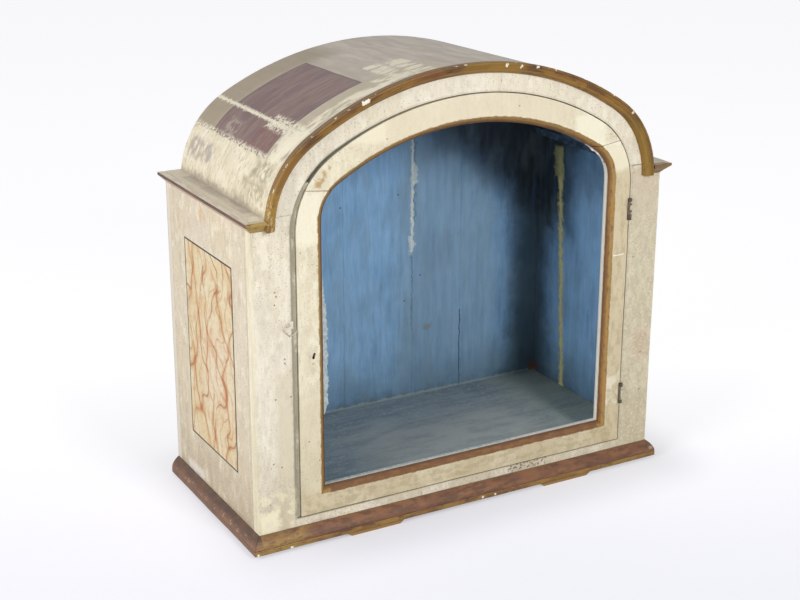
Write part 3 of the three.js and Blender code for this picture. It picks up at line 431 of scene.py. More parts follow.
walls = f = new_finish("blue_distemper_on_planks", "#8cb8dc", 0.75)
blue_coats(f, "#9dc3e4", "#6a93ba", (1, 1, 0.08))
ragged, torn, cloudy = pushed(f, 9, 3), pushed(f, 13, 6), pushed(f, 60, 20)
slanted = add(f.tree, "Mapping", {"Vector": pushed(f, 60, 12), "Rotation": (0, math.radians(-41.8), 0)})
for low, high, where, soft, colour, share in (
        ((60, None, 40), (260, None, 560), cloudy, 60, "#7d95a2", 0.5),
        (ANY, (None, None, 110), cloudy, 130, "#5b7688", 0.75), (ANY, (None, None, 66), cloudy, 40, "#3f5058", 0.7),
        ((-400, 130, 40), (-240, None, 700), cloudy, 70, "#95abb8", 0.4),
        # These four rows are painted shade: the far right corner, the top, the slanting shadow of the arch and the
        # upper right.
        ((300, 125, 40), (None, None, 740), cloudy, 70, "#303e3b", 0.8),
        ((-100, None, 600), ANY, cloudy, 90, "#223650", 0.7), ((None, 60, 512), ANY, slanted, 80, "#151c22", 0.93),
        ((120, 40, 530), ANY, cloudy, 110, "#1a2226", 0.5),
        # A painted shadow beside the filler strip.
        ((79, 150, 400), (90, None, 560), torn, 4, "#41586b", 0.5),
        ((79, 150, 350), (86, None, 560), torn, 3, "#b5c6cc", 0.85),
        ((80.5, 150, 345), (84.5, None, 552), ragged, 2.5, FILLER, 0.9),
        ((84, 150, 470), (92, None, 508), torn, 5, FILLER, 0.6),
        ((74, 150, 340), (84, None, 372), torn, 5, FILLER, 0.5),
        ((79, 150, 560), (86, None, 660), ragged, 2, "#9fb2b6", 0.8),
        ((81, 150, 190), (82.5, None, 335), ragged, 1.5, "#4c6070", 0.7),
        ((185, 150, 60), (186.8, None, 215), pushed(f, 25, 2), 1, "#1e2a33", 0.95),
        # Painted shade under the right ledge.
        ((350, 40, 525), (None, 160, 548), pushed(f, 14, 6), 10, "#29302c", 0.6),
        ((350, 112, 362), (None, 140, 436), pushed(f, 20, 7), 16, "#1c2720", 0.85),
        # Painted shade on the right wall, towards the back and the top.
        ((350, 60, 430), (None, 110, 560), cloudy, 40, "#2b4040", 0.5),
        ((350, -160, 455), (None, 60, 560), cloudy, 70, "#1c3350", 0.5),
        ((108, 150, 188), (124, None, 197), ragged, 5, "#85846f", 0.7),
        ((None, 160, 57), (None, None, 64), ragged, 4, "#a3adab", 0.6),
        ((345, 150, 55), (None, None, 78), ragged, 6, "#6b4a34", 0.8)):
    coat(f, inside(f, low, high, soft, where), colour, share)
leaning = add(f.tree, "Mapping", {"Vector": torn, "Rotation": (math.radians(3.6), 0, 0)})
coat(f, inside(f, (350, 57, 60), (None, 73, 525), 8, leaning), "#c2bd88", 0.75, tall=0.4)
coat(f, inside(f, (350, 61, 60), (None, 69, 510), 4, leaning), "#e3d78f", 0.85, tall=0.3)
coat(f, inside(f, (350, 55, 470), (None, 84, 528), 8, leaning), "#b5ac72", 0.75)
mottle(f, [], (34, 0.56, 0.12, (1, 1, 0.35), 52, "#72868e", 0.3), (14, 0.6, 0.12, (1, 1, 0.12), 97, "#4f7396", 0.3))
coat(f, spots(f, [(-64, 446), (66, 251), (99, 296), (53, 455)], 1.5), "#22303a", 0.85)

floor_paint = f = new_finish("worn_blue_floor_paint", "#8c9aa1", 0.7)
blue_coats(f, "#a9b2b3", "#74848c", (0.12, 1, 1))
cloudy = pushed(f, 60, 25)
# A painted pool of light: the middle of the floor is lighter.
coat(f, inside(f, (-120, -120, None), (240, 60, None), 140, cloudy), "#bdbdb2", 0.65)
coat(f, inside(f, (250, -90, None), (None, 170, None), 110, cloudy), "#a5ab8f", 0.5)
mottle(f, [], (30, 0.54, 0.12, (0.35, 1, 1), 29, "#6b7a80", 0.4), (6, 0.6, 0.05, ROUND, 8, "#bdb6a4", 0.5))
seal(f)
print("paints:", [f.material.name for f in (facade, door, side_paint, walls, floor_paint)])

# %% [markdown]
# ## Vault paint
# The vault's finish follows its surface, so its marks are placed by distance over the arch and distance
# back, which the mesh carries as a UV map in metres. A greyed ground has a purple-brown panel on its left,
# and below that and along a split joint somebody has filled and repainted in cream.

# %% Vault paint
CREAM_FILL = "#efe6cd"
vault = f = new_finish("greyed_vault_paint", "#c4b9aa", 0.55)
f.mm = laid_out_mm(f)
ragged, torn, drawn = pushed(f, 14, 5), pushed(f, 6, 4), pushed(f, 60, 1)


def on_vault(where, over_from, over_to, back_from, back_to, soft):
    """The mask of one patch of the vault, by distance over the arch and back from the face."""
    return inside(vault, (over_from, back_from, None), (over_to, back_to, None), soft, where)


mottle(f, [], (90, 0.5, 0.12, ROUND, 0, "#b5a999", 0.7), (11, 0.54, 0.14, (1, 0.12, 1), 20, "#a09286", 0.4))
right_half = on_vault(None, 340, 700, 0, 344, 80)
coat(f, [blotches(f, 22, 0.54, 0.1, (1, 0.2, 1), 3), right_half], "#d6ccba", 0.55)
coat(f, on_vault(ragged, 60, 350, 262, 360, 60), "#96876d", 0.75)
coat(f, on_vault(ragged, 100, 420, -20, 62, 10), "#b9ad92", 0.7)
coat(f, on_vault(drawn, 60, 298, 64, 270, 0.8), "#5d4f4a", 0.9)
panel = on_vault(drawn, 50, 295, 67, 267, 1.2)
coat(f, panel, "#816a62")
mottle(f, [panel], (7, 0.5, 0.1, (0.08, 1, 1), 6, "#957f78", 0.5),
       (2.5, 0.52, 0.16, (0.1, 1, 1), 16, "#5d4a48", 0.35), (24, 0.54, 0.06, (0.3, 1, 1), 61, "#6b5456", 0.6))
mottle(f, [panel, on_vault(ragged, 108, 150, 66, 140, 16)], (12, 0.5, 0.14, ROUND, 0, "#7c4b42", 0.6))
patchy = blotches(f, 13, 0.45, 0.06, (0.35, 1, 1), 33)
for patch in ((100, 330, 4, 36), (306, 364, 10, 50), (332, 360, 34, 128), (100, 150, 28, 60), (366, 400, 4, 120)):
    coat(f, [on_vault(ragged, *patch, 8), patchy], CREAM_FILL, 0.85, tall=0.4)
repaint = on_vault(ragged, -40, 100, -20, 380, 3)
coat(f, repaint, CREAM_FILL, 0.97, rough=0.5, tall=0.5)
mottle(f, [on_vault(torn, 94, 107, -20, 380, 8)], (5, 0.48, 0.08, ROUND, 44, CREAM_FILL, 0.8))
coat(f, on_vault(ragged, 126, 172, 0, 44, 10), CREAM_FILL, 0.85, tall=0.4)
coat(f, on_vault(torn, 156, 163.5, 30, 380, 4), CREAM_FILL, 0.93, tall=1.0)
mottle(f, [on_vault(torn, 146, 174, 40, 130, 10)], (7, 0.46, 0.05, ROUND, 0, CREAM_FILL, 0.9), tall=0.6)
mottle(f, [on_vault(ragged, 106, 136, 196, 240, 14)], (9, 0.5, 0.1, ROUND, 7, "#b3a99e", 0.6))
mottle(f, [repaint], (34, 0.5, 0.1, ROUND, 15, "#dfd2b2", 0.6))
scuffed = blotches(f, 12, 0.47, 0.12, (0.7, 1, 1), 71)
for patch, colour in (((66, 98, 20, 82), "#968a6a"), ((36, 62, 12, 100), "#a99e7d"), ((48, 82, 235, 330), "#a79a90"),
                      ((14, 34, 60, 130), "#b3a893"), ((8, 30, 180, 300), "#bfb3a0")):
    coat(f, [on_vault(ragged, *patch, 12), scuffed], colour, 0.85)
mottle(f, [repaint], (4, 0.6, 0.06, (0.4, 1, 1), 2, "#a0937a", 0.6),
       (10, 0.56, 0.12, (0.3, 1, 1), 92, "#c9bd9f", 0.5))
# Painted shade along the vault's left foot, in the crease against the ledge.
coat(f, on_vault(ragged, -20, 25, -20, 380, 12), "#998c7b", 0.6)
coat(f, on_vault(ragged, -20, 900, -10, 5, 3), "#d6ccb4", 0.6)
relief(f, blotches(f, 7, 0.5, 0.3, (1, 0.3, 1)), 0.25)
seal(f)

# %% [markdown]
# ## Mouldings
# The mouldings were water gilt over red-brown bole. Where the section's members were painted apart, the
# finish follows the distance round the section, which each mesh carries as its band.

# %% Gilt arch moulding
def gilt_coats(f, masks, gold, darkened, dirt, where=None, stretch=(0.3, 0.3, 1)):
    """Old leaf in streaks 12 mm wide, rubbed through in longer ones, with dirt in spots 4 mm wide."""
    mottle(f, masks, (12, 0.45, 0.1, stretch, 11, gold, 0.85), where=where, rough=0.45, metal=0.15, tall=0.05)
    mottle(f, masks, (22, 0.54, 0.08, stretch, 25, darkened, 0.6), where=where)
    mottle(f, masks, (4, 0.6, 0.06, stretch, 3, dirt, 0.75), where=where, rough=0.7, metal=0.0, tall=-0.15)


BARE = {"rough": 0.6, "metal": 0.0}
arch_gilt = f = new_finish("gilding_over_bole", "#5e380c", 0.55)
gilt_coats(f, [], "#88611a", "#472a08", "#2f1f0a", laid_out_mm(f), (0.2, 1, 1))
# A painted highlight: a lighter band along the crown of the ovolo.
coat(f, between(f, 24, 28, 2.5, 0.9), "#9a7222", 0.5, metal=0.1)
coat(f, between(f, 16.3, 18.5, 0.8, 0.3), "#5b3d1c", 0.7, metal=0.0)
coat(f, between(f, -2, 10.6, 1.0, 1.2), "#77644a", 0.85, rough=0.7, metal=0.0)
coat(f, between(f, 11.2, 12.6, 0.6, 0.4), "#4f3a1e", 0.6, metal=0.0)
blurred = pushed(f, 14, 8)
for (x0, z0), (x1, z1), soft, colour, share in (
        ((-20, 700), (90, 760), 20, "#94701c", 0.45), ((-110, 700), (-60, 760), 14, "#6f3d16", 0.4),
        ((300, 520), (380, 640), 40, "#78601c", 0.45), ((-380, 530), (-300, 640), 30, "#8c6420", 0.5)):
    coat(f, inside(f, (x0, None, z0), (x1, None, z1), soft, blurred), colour, share)
CHIPS = [(56, 745), (84, 741), (114, 737), (149, 731), (188, 722), (208, 711), (237, 697), (266, 679), (307, 645)]
LONG_CHIP = [(-196, 709.5), (-192, 710.8), (-188, 712)]
in_front = inside(f, ANY, (None, -173.5, None), 1, pushed(f, 5, 2.5))
coat(f, [in_front, spots(f, CHIPS, 2.5, pushed(f, 4, 2.5))], "#eee6d2", 0.95, tall=-0.4, **BARE)
foot = inside(f, (-370, None, 520), (-300, None, 590), 30, pushed(f, 14, 4))
mottle(f, [foot], (16, 0.46, 0.14, ROUND, 64, "#b08a34", 0.6))
mottle(f, [foot], (6, 0.6, 0.08, ROUND, 66, "#d6c79c", 0.55), **BARE)
coat(f, [in_front, spots(f, LONG_CHIP, 3.4, pushed(f, 6, 1))], "#f3eddc", tall=-0.5, **BARE)
mottle(f, [between(f, 9.5, 12.6, 0.5, 1.0, size=14)], (9, 0.62, 0.03, ROUND, 9, "#e6dcc4", 1.0),
       tall=-0.3, **BARE)
seal(f)

# %% [markdown]
# The plinth is red-brown paint over worn gilding, with its bead still gilt along the front. The cornice
# has a dark fascia over pink and a cream top, and turns the corner as a short gilt return.

# %% Plinth and cornice paint
ALONG = (0.3, 0.3, 1)
plinth = f = new_finish("red_brown_paint_and_worn_gilt", "#6b432a", 0.5)
mottle(f, [], (24, 0.5, 0.08, ALONG, 0, "#835733", 0.7), (7, 0.54, 0.06, ALONG, 8, "#4c301d", 0.65))
gilt_coats(f, [between(f, 13.6, 21.9, 0.6, 0.4)], "#9a7836", "#70491f", "#4b361d")
corner = inside(f, (None, None, 0), (-300, -166, 40), 40, pushed(f, 20, 12))
gilt_coats(f, [corner], "#9a7c3e", "#80552b", "#53442a")
coat(f, between(f, 22.2, 23.6, 0.5), "#412a1a", 0.8)
# Darker along the top edge where the plinth meets the wall: grime and painted shade.
coat(f, between(f, 46, 60, 2, 1.2), "#5f5440", 0.75)
for low, high in ((None, -379), (379, None)):
    side = inside(f, (low, -178, None), (high, None, None), 1)
    coat(f, side, "#6a4a35", 0.75)
    coat(f, [side, between(f, 14, 22, 0.6)], "#7a5231", 0.7)
    # On the sides the outer curve of the ovolo is lighter: a painted highlight.
    coat(f, [side, between(f, 24, 31, 2, 1.5)], "#8a6448", 0.6)
    mottle(f, [side, between(f, 36, 47, 3, 2)], (40, 0.42, 0.14, ROUND, 5, "#3c332a", 0.75))
    mottle(f, [side], (26, 0.5, 0.14, ROUND, 14, "#4d3a2d", 0.5), (16, 0.57, 0.1, ROUND, 44, "#80573a", 0.5))
    # Light scuffs and painted highlights along the ovolo's outer curve.
    mottle(f, [side, between(f, 26, 34, 2, 2)], (9, 0.6, 0.06, ROUND, 54, "#b59a80", 0.6))
coat(f, spots(f, [(-389, 7), (27, 9), (52, 9), (-330, 7)], 2.2, pushed(f, 5, 1.5)), "#eee8dc", 0.95)
coat(f, between(f, -5, 12.6, 0.4), "#5a4636", 0.8)
seal(f)

cornice = f = new_finish("red_brown_fascia_over_pink", "#c3ab98", 0.5)
mottle(f, [], (14, 0.5, 0.1, (1, 0.3, 1), 0, "#a5866f", 0.7))
fascia, top = between(f, 16.5, 24.4, 0.7, 0.5), between(f, 24.6, 60, 0.5, 0.5)
coat(f, fascia, "#5a2f1e", 0.95)
mottle(f, [fascia], (9, 0.54, 0.06, (1, 0.3, 1), 0, "#38271c", 0.8))
coat(f, top, "#ddd3bd", 0.97)
mottle(f, [top], (10, 0.5, 0.08, (1, 0.2, 1), 0, "#bdb09b", 0.7))
seal(f)

return_gilt = f = new_finish("ochre_gilt_returns", "#8b6a30", 0.5, 0.1)
gilt_coats(f, [], "#a98d4a", "#7a5426", "#4f3b1e")
coat(f, between(f, 26, 60, 1, 0.8), "#ddd3b4", 0.7, metal=0.0)
coat(f, inside(f, (0, None, None), ANY), "#6b4a26", 0.7)
seal(f)
print("mouldings:", [f.material.name for f in (arch_gilt, plinth, cornice, return_gilt)])

# %% [markdown]
# ## Bare pine and ironwork
# Bare pine where nothing was painted, as on the back of the planks, whose ends were painted with the
# sides. Black iron for the lock, and house paint over most of the hinges and the wire catch.

# %% Wood, iron and strip
def pine_coats(f, stretch, masks=()):
    """Bare softwood: growth lines 4 mm apart along the board, 14 times as long, and grey weathering."""
    mottle(f, masks, (5, 0.5, 0.14, stretch, 0, "#856747", 0.7), tall=-0.1)
    mottle(f, masks, (70, 0.52, 0.1, ROUND, 0, "#7f7362", 0.6), (1.2, 0.5, 0.2, stretch, 0, "#4f3c28", 0.3))


base_pine = f = new_finish("bare_aged_pine", "#9c7f5b", 0.8)
pine_coats(f, (0.07, 1, 1))
varnished = inside(f, (-390, None, None), (390, -160, None), 6, pushed(f, 20, 4))
coat(f, varnished, "#94703c", 0.85)
seal(f)

for low, high in ((None, -378.5), (378.5, None)):
    coat(walls, inside(walls, (low, None, None), (high, None, None), 0.5), "#dcd2c0")
behind = inside(walls, (None, 178, None), ANY, 0.6)
coat(walls, behind, "#ab8f6b", rough=0.8)
pine_coats(walls, (1, 1, 0.07), [behind])
for x in (-197, -59, 83, 186):
    plank_joint = inside(walls, (x - 0.8, None, None), (x + 0.8, None, None), 1, pushed(walls, 40, 0.4))
    coat(walls, [behind, plank_joint], "#221a12")
NAILS = [(x, z) for x in (-372, -290, -216, -180, -76, -42, 66, 100, 168, 204, 290, 372) for z in (16, 560)]
NAILS += [(x, z) for x in (-371, 371) for z in (150, 285, 420)]
coat(walls, [behind, spots(walls, NAILS, 2.4)], "#2d2722", 0.9, tall=-0.3)
seal(walls)

strip = f = new_finish("greyed_strip_paint", "#b7b199", 0.55)
white_coats(f, "#aaa48b", "#989079", "#857b62")
seal(f)

iron = f = new_finish("rusted_wrought_iron", "#5b5650", 0.6, 0.7)
mottle(f, [], (6, 0.46, 0.08, ROUND, 0, "#45352a", 0.9), rough=0.75, metal=0.1, tall=0.1)
seal(f)

painted_iron = f = new_finish("iron_with_cream_paint", "#5a4a38", 0.6, 0.1)
mottle(f, [], (9, 0.42, 0.08, ROUND, 0, "#cfc4a8", 0.95), detail=2, rough=0.55, metal=0.0, tall=0.1)
# Dark at the ends of the knuckles: worn-through paint, and painted shade of the mortise ends.
for low, high in ((150, 170), (110, 126), (488, 500), (450, 466)):
    darkened = inside(f, (None, None, low), (None, None, high), 2, pushed(f, 6, 1.5))
    coat(f, darkened, "#3d3226", 0.9)
# Dark down the barrel's left side: painted shade of the groove beside it.
darkened = inside(f, ANY, (317.0, None, None), 1, pushed(f, 6, 0.8))
coat(f, darkened, "#3d3226", 0.85)
seal(f)

painted_wire = f = new_finish("grey_white_painted_wire", "#7c7262", 0.55, 0.1)
mottle(f, [], (5, 0.42, 0.06, ROUND, 0, "#c4bca8", 0.95), metal=0.0)
seal(f)

putty = f = new_finish("old_glazing_putty", "#bfc8c6", 0.7)
mottle(f, [], (6, 0.5, 0.08, ROUND, 0, "#94a3a8", 0.7))
coat(f, inside(f, (100, None, 90), ANY, 10), "#ece2d4", 0.85)
seal(f)
print("others:", [f.material.name for f in (base_pine, strip, iron, painted_iron, painted_wire, putty)])

# %% [markdown]
# ## Shapes from grids
# Every new piece is one closed grid: a ring of points for the section, carried from station to station.
# The quads between neighbouring rings make the skin and the first and last rings close the ends.

# %% Grid helpers
SMOOTH_BELOW, BEVELLED_ABOVE = math.radians(32), math.radians(35)


def grid_quads(rows, columns):
    """Corner numbers of a grid's quads, closed across the columns: point (i, j) is i * columns + j."""
    i, j = np.meshgrid(np.arange(rows - 1), np.arange(columns), indexing="ij")
    beside = (j + 1) % columns
    return np.stack([i * columns + j, i * columns + beside, (i + 1) * columns + beside, (i + 1) * columns + j],
                    -1).reshape(-1, 4)


def signed_volume(points, quads):
    """A sixth of the sum of the triple products of each quad's two triangles."""
    a, b, c, d = (points[quads[:, k]] for k in range(4))
    return (np.einsum("ij,ij->", a, np.cross(b, c)) + np.einsum("ij,ij->", a, np.cross(c, d))) / 6


def closed_grid(name, rings, bands=None, laid_out=None):
    """Rings of points in mm, one per station, joined into one closed object with its faces outwards."""
    stations, count = rings.shape[:2]
    points = rings.reshape(-1, 3)
    quads = grid_quads(stations, count)
    ends = [list(range(count))[::-1], list(range((stations - 1) * count, stations * count))]
    if signed_volume(points - points.mean(0), quads) < 0:
        quads = quads[:, ::-1]
        ends = [end[::-1] for end in ends]
    mesh = bpy.data.meshes.new(name)
    mesh.from_pydata(points * MM, [], quads.tolist() + ends)
    if bands is not None:
        attribute = mesh.attributes.new("band", "FLOAT", "POINT")
        attribute.data.foreach_set("value", np.tile(np.asarray(bands, np.float32), stations))
    if laid_out is not None:
        corners = np.zeros(len(mesh.loops), np.int32)
        mesh.loops.foreach_get("vertex_index", corners)
        layer = mesh.uv_layers.new(name="laid_out")
        layer.data.foreach_set("uv", (laid_out.reshape(-1, 2)[corners] * MM).astype(np.float32).ravel())
    mesh.polygons.foreach_set("use_smooth", np.ones(len(mesh.polygons), bool))
    mesh.set_sharp_from_angle(angle=SMOOTH_BELOW)
    made = bpy.data.objects.new(name, mesh)
    scene.collection.objects.link(made)
    return made


def cut(made, cutter):
    """Takes the cutter out of a piece and removes it: an exact boolean, kept as the piece's own mesh."""
    change = made.modifiers.new("cut", "BOOLEAN")
    change.operation, change.solver, change.object = "DIFFERENCE", "EXACT", cutter
    result = bpy.data.meshes.new_from_object(made.evaluated_get(bpy.context.evaluated_depsgraph_get()))
    made.modifiers.clear()
    made.data = result
    bpy.data.objects.remove(cutter)


def dress(made, finishes, body, replaced, bevel=0.6, choose=None):
    """Gives a piece its finishes, worn edges, body and the solids that it stands for."""
    mesh = made.data
    mesh.materials.clear()
    for finish in finishes:
        mesh.materials.append(finish.material)
    if choose is not None:
        centres, normals = np.zeros(len(mesh.polygons) * 3), np.zeros(len(mesh.polygons) * 3)
        mesh.polygons.foreach_get("center", centres)
        mesh.polygons.foreach_get("normal", normals)
        index = choose(centres.reshape(-1, 3) / MM, normals.reshape(-1, 3))
        mesh.polygons.foreach_set("material_index", index.astype(np.int32))
    if bevel:
        edge = made.modifiers.new("worn_edges", "BEVEL")
        edge.width, edge.segments, edge.limit_method = bevel * MM, 2, "ANGLE"
        edge.angle_limit = BEVELLED_ABOVE
    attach(made, body)
    if replaced:
        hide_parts(*replaced)
    print(f"{made.name}: {len(mesh.polygons)} faces")


def length_along(line):
    """Distance along a line of points from its first one."""
    return np.concatenate([[0], np.cumsum(np.linalg.norm(np.diff(line, axis=0), axis=1))])


def wave(x, *parts):
    """A sum of sines: each part is (height, wavelength, phase)."""
    return sum(height * np.sin(2 * np.pi * x / length + phase) for height, length, phase in parts)


# %% [markdown]
# ## The basket arch
# Every arch on the piece is a carpenter's basket arch, drawn with three compass settings: a tight arc over
# each springing and a flat one between. All its points follow from the angle that they face.

# %% Basket arches
def basket_arch(half, spring, top, haunch, centre=0.0):
    """Crown radius = ((half - haunch)^2 + rise^2 - haunch^2) / (2 (rise - haunch)); the arcs meet where
    the line through both centres points."""
    rise, inset = top - spring, half - haunch
    crown = (inset ** 2 + rise ** 2 - haunch ** 2) / (2 * (rise - haunch))
    turn = np.arctan2(crown - rise, inset)
    return SimpleNamespace(half=half, spring=spring, top=top, haunch=haunch, centre=centre, inset=inset,
                           crown=crown, turn=turn)


def grown(arch, by):
    """The same arch moved outwards by this many mm."""
    return basket_arch(arch.half + by, arch.spring, arch.top + by, arch.haunch + by, arch.centre)


def arch_points(arch, angle):
    """x and z where the arch faces each angle from +X: crown circle between the turns, haunch circles beyond."""
    on_crown = np.abs(angle - np.pi / 2) < np.pi / 2 - arch.turn
    side = np.sign(np.cos(angle))
    x = np.where(on_crown, arch.crown * np.cos(angle), side * arch.inset + arch.haunch * np.cos(angle))
    z = np.where(on_crown, arch.top - arch.crown + arch.crown * np.sin(angle),
                 arch.spring + arch.haunch * np.sin(angle))
    return arch.centre + x, z


def right_angle(arch, z):
    """The angle that the right half of the arch faces at height z: on the haunch, or on the crown above it."""
    low = (z - arch.spring) / arch.haunch
    high = (z - arch.top + arch.crown) / arch.crown
    return np.where(low < math.sin(arch.turn), np.arcsin(np.clip(low, 0, 1)), np.arcsin(np.clip(high, 0, 1)))


def side_x(arch, z, side):
    """x of the arch's upright, haunch or crown at height z, on the left (-1) or right (1)."""
    x, _ = arch_points(arch, right_angle(arch, z))
    return arch.centre + side * (x - arch.centre)


FACE_Y, BACK_Y = -165.0, 179.0
DEPTH = BACK_Y - FACE_Y
FRAME_BACK_Y, DOOR_BACK_Y = -145.0, -146.0
VAULT_HALF, SPRING, CROWN, HAUNCH = 357, 531, 751, 160
DRAW_IN, FALL = 4, 9


def vault_at(depth):
    """The vault's outer arch this many mm behind the face: its feet draw in and its crown falls on the way."""
    share = depth / DEPTH
    return basket_arch(VAULT_HALF - DRAW_IN * share, SPRING, CROWN - FALL * share, HAUNCH)


vault_front = vault_at(0)
opening = basket_arch(316.25, 518, 704, 136, 2.75)
door_edge = basket_arch(311.5, 518, 702, 134, 6)
sight = basket_arch(268, 531, 653.5, 63.5, 9)
print("crown radii:", [round(float(a.crown), 1) for a in (vault_front, opening, door_edge, sight)])


# %% [markdown]
# ## Frames round an arched opening
# The front frame and the door are both boards round an arched hole. Each is made as a U and a head that
# meet at the real joints. Lines that follow the hole and the outer edge are matched station by station,
# and the section between them runs from the back of the outer edge round the face to the back of the hole.

# %% Matched lines
U_STEPS = (40, 60)


def u_line(arch, bottom, left_z, right_z, steps=U_STEPS):
    """Down the left side from left_z, along the bottom, up the right side to right_z."""
    sides, under = steps
    z = bottom + (left_z - bottom) * np.linspace(1, 0, sides)
    left = np.stack([side_x(arch, z, -1), z], 1)
    z = bottom + (right_z - bottom) * np.linspace(0, 1, sides)
    rising = np.stack([side_x(arch, z, 1), z], 1)
    x = np.linspace(left[-1, 0], rising[0, 0], under)[1:-1]
    return np.concatenate([left, np.stack([x, np.full_like(x, bottom)], 1), rising])


def head_line(arch, left_z, right_z, steps=120):
    """Over the arch, from left_z on the left haunch to right_z on the right one."""
    angle = np.linspace(np.pi - right_angle(arch, left_z), right_angle(arch, right_z), steps)
    return np.stack(arch_points(arch, angle), 1)


def frame_rings(outer, face, inner, back_y, chamfer=0.0):
    """The section of a frame at each station: outer edge back to front, the face in three bands, and the
    hole's edge front to back. The face is gently warped along the frame by sines."""
    warp = wave(np.arange(len(outer)) * 11.0, (0.3, 390, 1.1), (0.15, 170, 0.4))
    parts = [(outer, back_y, 0), (outer, FACE_Y, 1), (outer * 0.67 + face * 0.33, FACE_Y, 1),
             (outer * 0.33 + face * 0.67, FACE_Y, 1), (face, FACE_Y, 1)]
    parts += [(inner, FACE_Y + chamfer, 0)] if chamfer else []
    parts += [(inner, back_y, 0)]
    rows = [np.stack([line[:, 0], y + warped * warp, line[:, 1]], 1) for line, y, warped in parts]
    return np.stack(rows, 1)


def block(name, low, high):
    """A plain box from low to high, used to cut with."""
    (x0, y0, z0), (x1, y1, z1) = low, high
    loop = np.array([(x0, y0), (x1, y0), (x1, y1), (x0, y1)])
    return closed_grid(name, np.stack([np.column_stack([loop, np.full(4, z)]) for z in (z0, z1)]))


def rod(name, at, radius, axis, low, high, facets=32):
    """A round bar along y or z about a point, used to cut with: a circle at each end."""
    turn = np.linspace(0, 2 * np.pi, facets, endpoint=False)
    a, b = radius * np.cos(turn), radius * np.sin(turn)
    ends = [np.stack([at[0] + a, at[1] + b, np.full(facets, v)], 1) if axis == "z"
            else np.stack([at[0] + a, np.full(facets, v), at[1] + b], 1) for v in (low, high)]
    return closed_grid(name, np.stack(ends))


# %% [markdown]
# The front frame first. Its joint with the arched head is at 550 mm, just above the ledges, and its right
# stile is cut for both hinges.

# %% Front frame
FRAME_JOINT, JOINT_GAP = 550.0, 0.3
HINGE_AT, HINGE_HALF, BARREL, MORTISE_BACK = (318.25, -167.0), 18.8, 4.1, -151.7
BEFORE_FACE = -168  # where the cutters start
NAIL_AT, NAIL_RADIUS = (-323, 377), 1.5
FRAME_BANDS, DOOR_BANDS = [0, 1, 1.33, 1.67, 2, 4], [0, 1, 1.33, 1.67, 2, 3, 4]
LEDGE_Z, LEDGE_X, RIM_LOW, OPENING_LOW = 537.0, 345.6, 22.3, 47.5


def cut_hinges(made, sign):
    """Takes the leaf's mortise and the barrel's groove out of a hinge stile's edge, on this side of the pin."""
    for z in HINGE_LEVELS:
        x0, x1 = sorted((HINGE_AT[0] + sign * 2.2, HINGE_AT[0] - sign * 2.0))
        cut(made, block("mortise", (x0, BEFORE_FACE, z - HINGE_HALF), (x1, MORTISE_BACK, z + HINGE_HALF)))
        cut(made, rod("groove", HINGE_AT, BARREL, "z", z - HINGE_HALF, z + HINGE_HALF))


top_z = FRAME_JOINT - JOINT_GAP
inner = u_line(opening, OPENING_LOW, top_z, top_z)
rim_z = RIM_LOW + (top_z - RIM_LOW) * (inner[:, 1] - OPENING_LOW) / (top_z - OPENING_LOW)
rim_x = np.sign(inner[:, 0] - opening.centre) * np.where(rim_z > LEDGE_Z, LEDGE_X, HALF_WIDTH)
sides, under = U_STEPS
rim_x[sides:sides + under - 2] = np.linspace(-HALF_WIDTH, HALF_WIDTH, under)[1:-1]
rim = np.stack([rim_x, rim_z], 1)
front_frame = closed_grid("front_frame", frame_rings(rim, inner, inner, FRAME_BACK_Y), FRAME_BANDS)
cut_hinges(front_frame, 1)
cut(front_frame, rod("nail_hole", NAIL_AT, NAIL_RADIUS, "y", -166, -147, 16))
stiles_and_rail = [f"facade_{part}" for part in ("stile_left", "stile_right", "bottom_rail")]
dress(front_frame, [facade], "case", stiles_and_rail)

VAULT_SKIN = 9.3
head_outer = grown(vault_at(FRAME_BACK_Y - FACE_Y), -VAULT_SKIN)
inner, outer = (head_line(arch, FRAME_JOINT, FRAME_JOINT) for arch in (opening, head_outer))
front_head = closed_grid("front_frame_head", frame_rings(outer, inner, inner, FRAME_BACK_Y), FRAME_BANDS)
dress(front_head, [facade], "case", ["facade_arch"])

# %% [markdown]
# The door's section has the chamfer round the sight as well, which carried the gilding. Its head meets the
# stiles on slanting joints, and the latch stile is cut for the keyhole and the lock.

# %% Door
CHAMFER, DOOR_LOW, SIGHT_LOW = 9.5, 49.0, 81.0
DOOR_JOINTS = {"outer": (584.0, 596.5), "face": (579.5, 591.0), "inner": (578.5, 590.0)}
DOOR_LINES = {"outer": (door_edge, DOOR_LOW), "face": (grown(sight, CHAMFER), SIGHT_LOW),
              "inner": (sight, SIGHT_LOW + CHAMFER)}
HEAD_GAP, LOCK_POCKET = 0.9, ((-306.5, -155.3, 288.7), (-271.2, -145, 349.3))
KEYHOLE_AT, KEYHOLE_LEAN, KEYHOLE_RADIUS, KEYHOLE_REACH = (-279.3, 319.0), math.radians(22), 2.1, 2.9

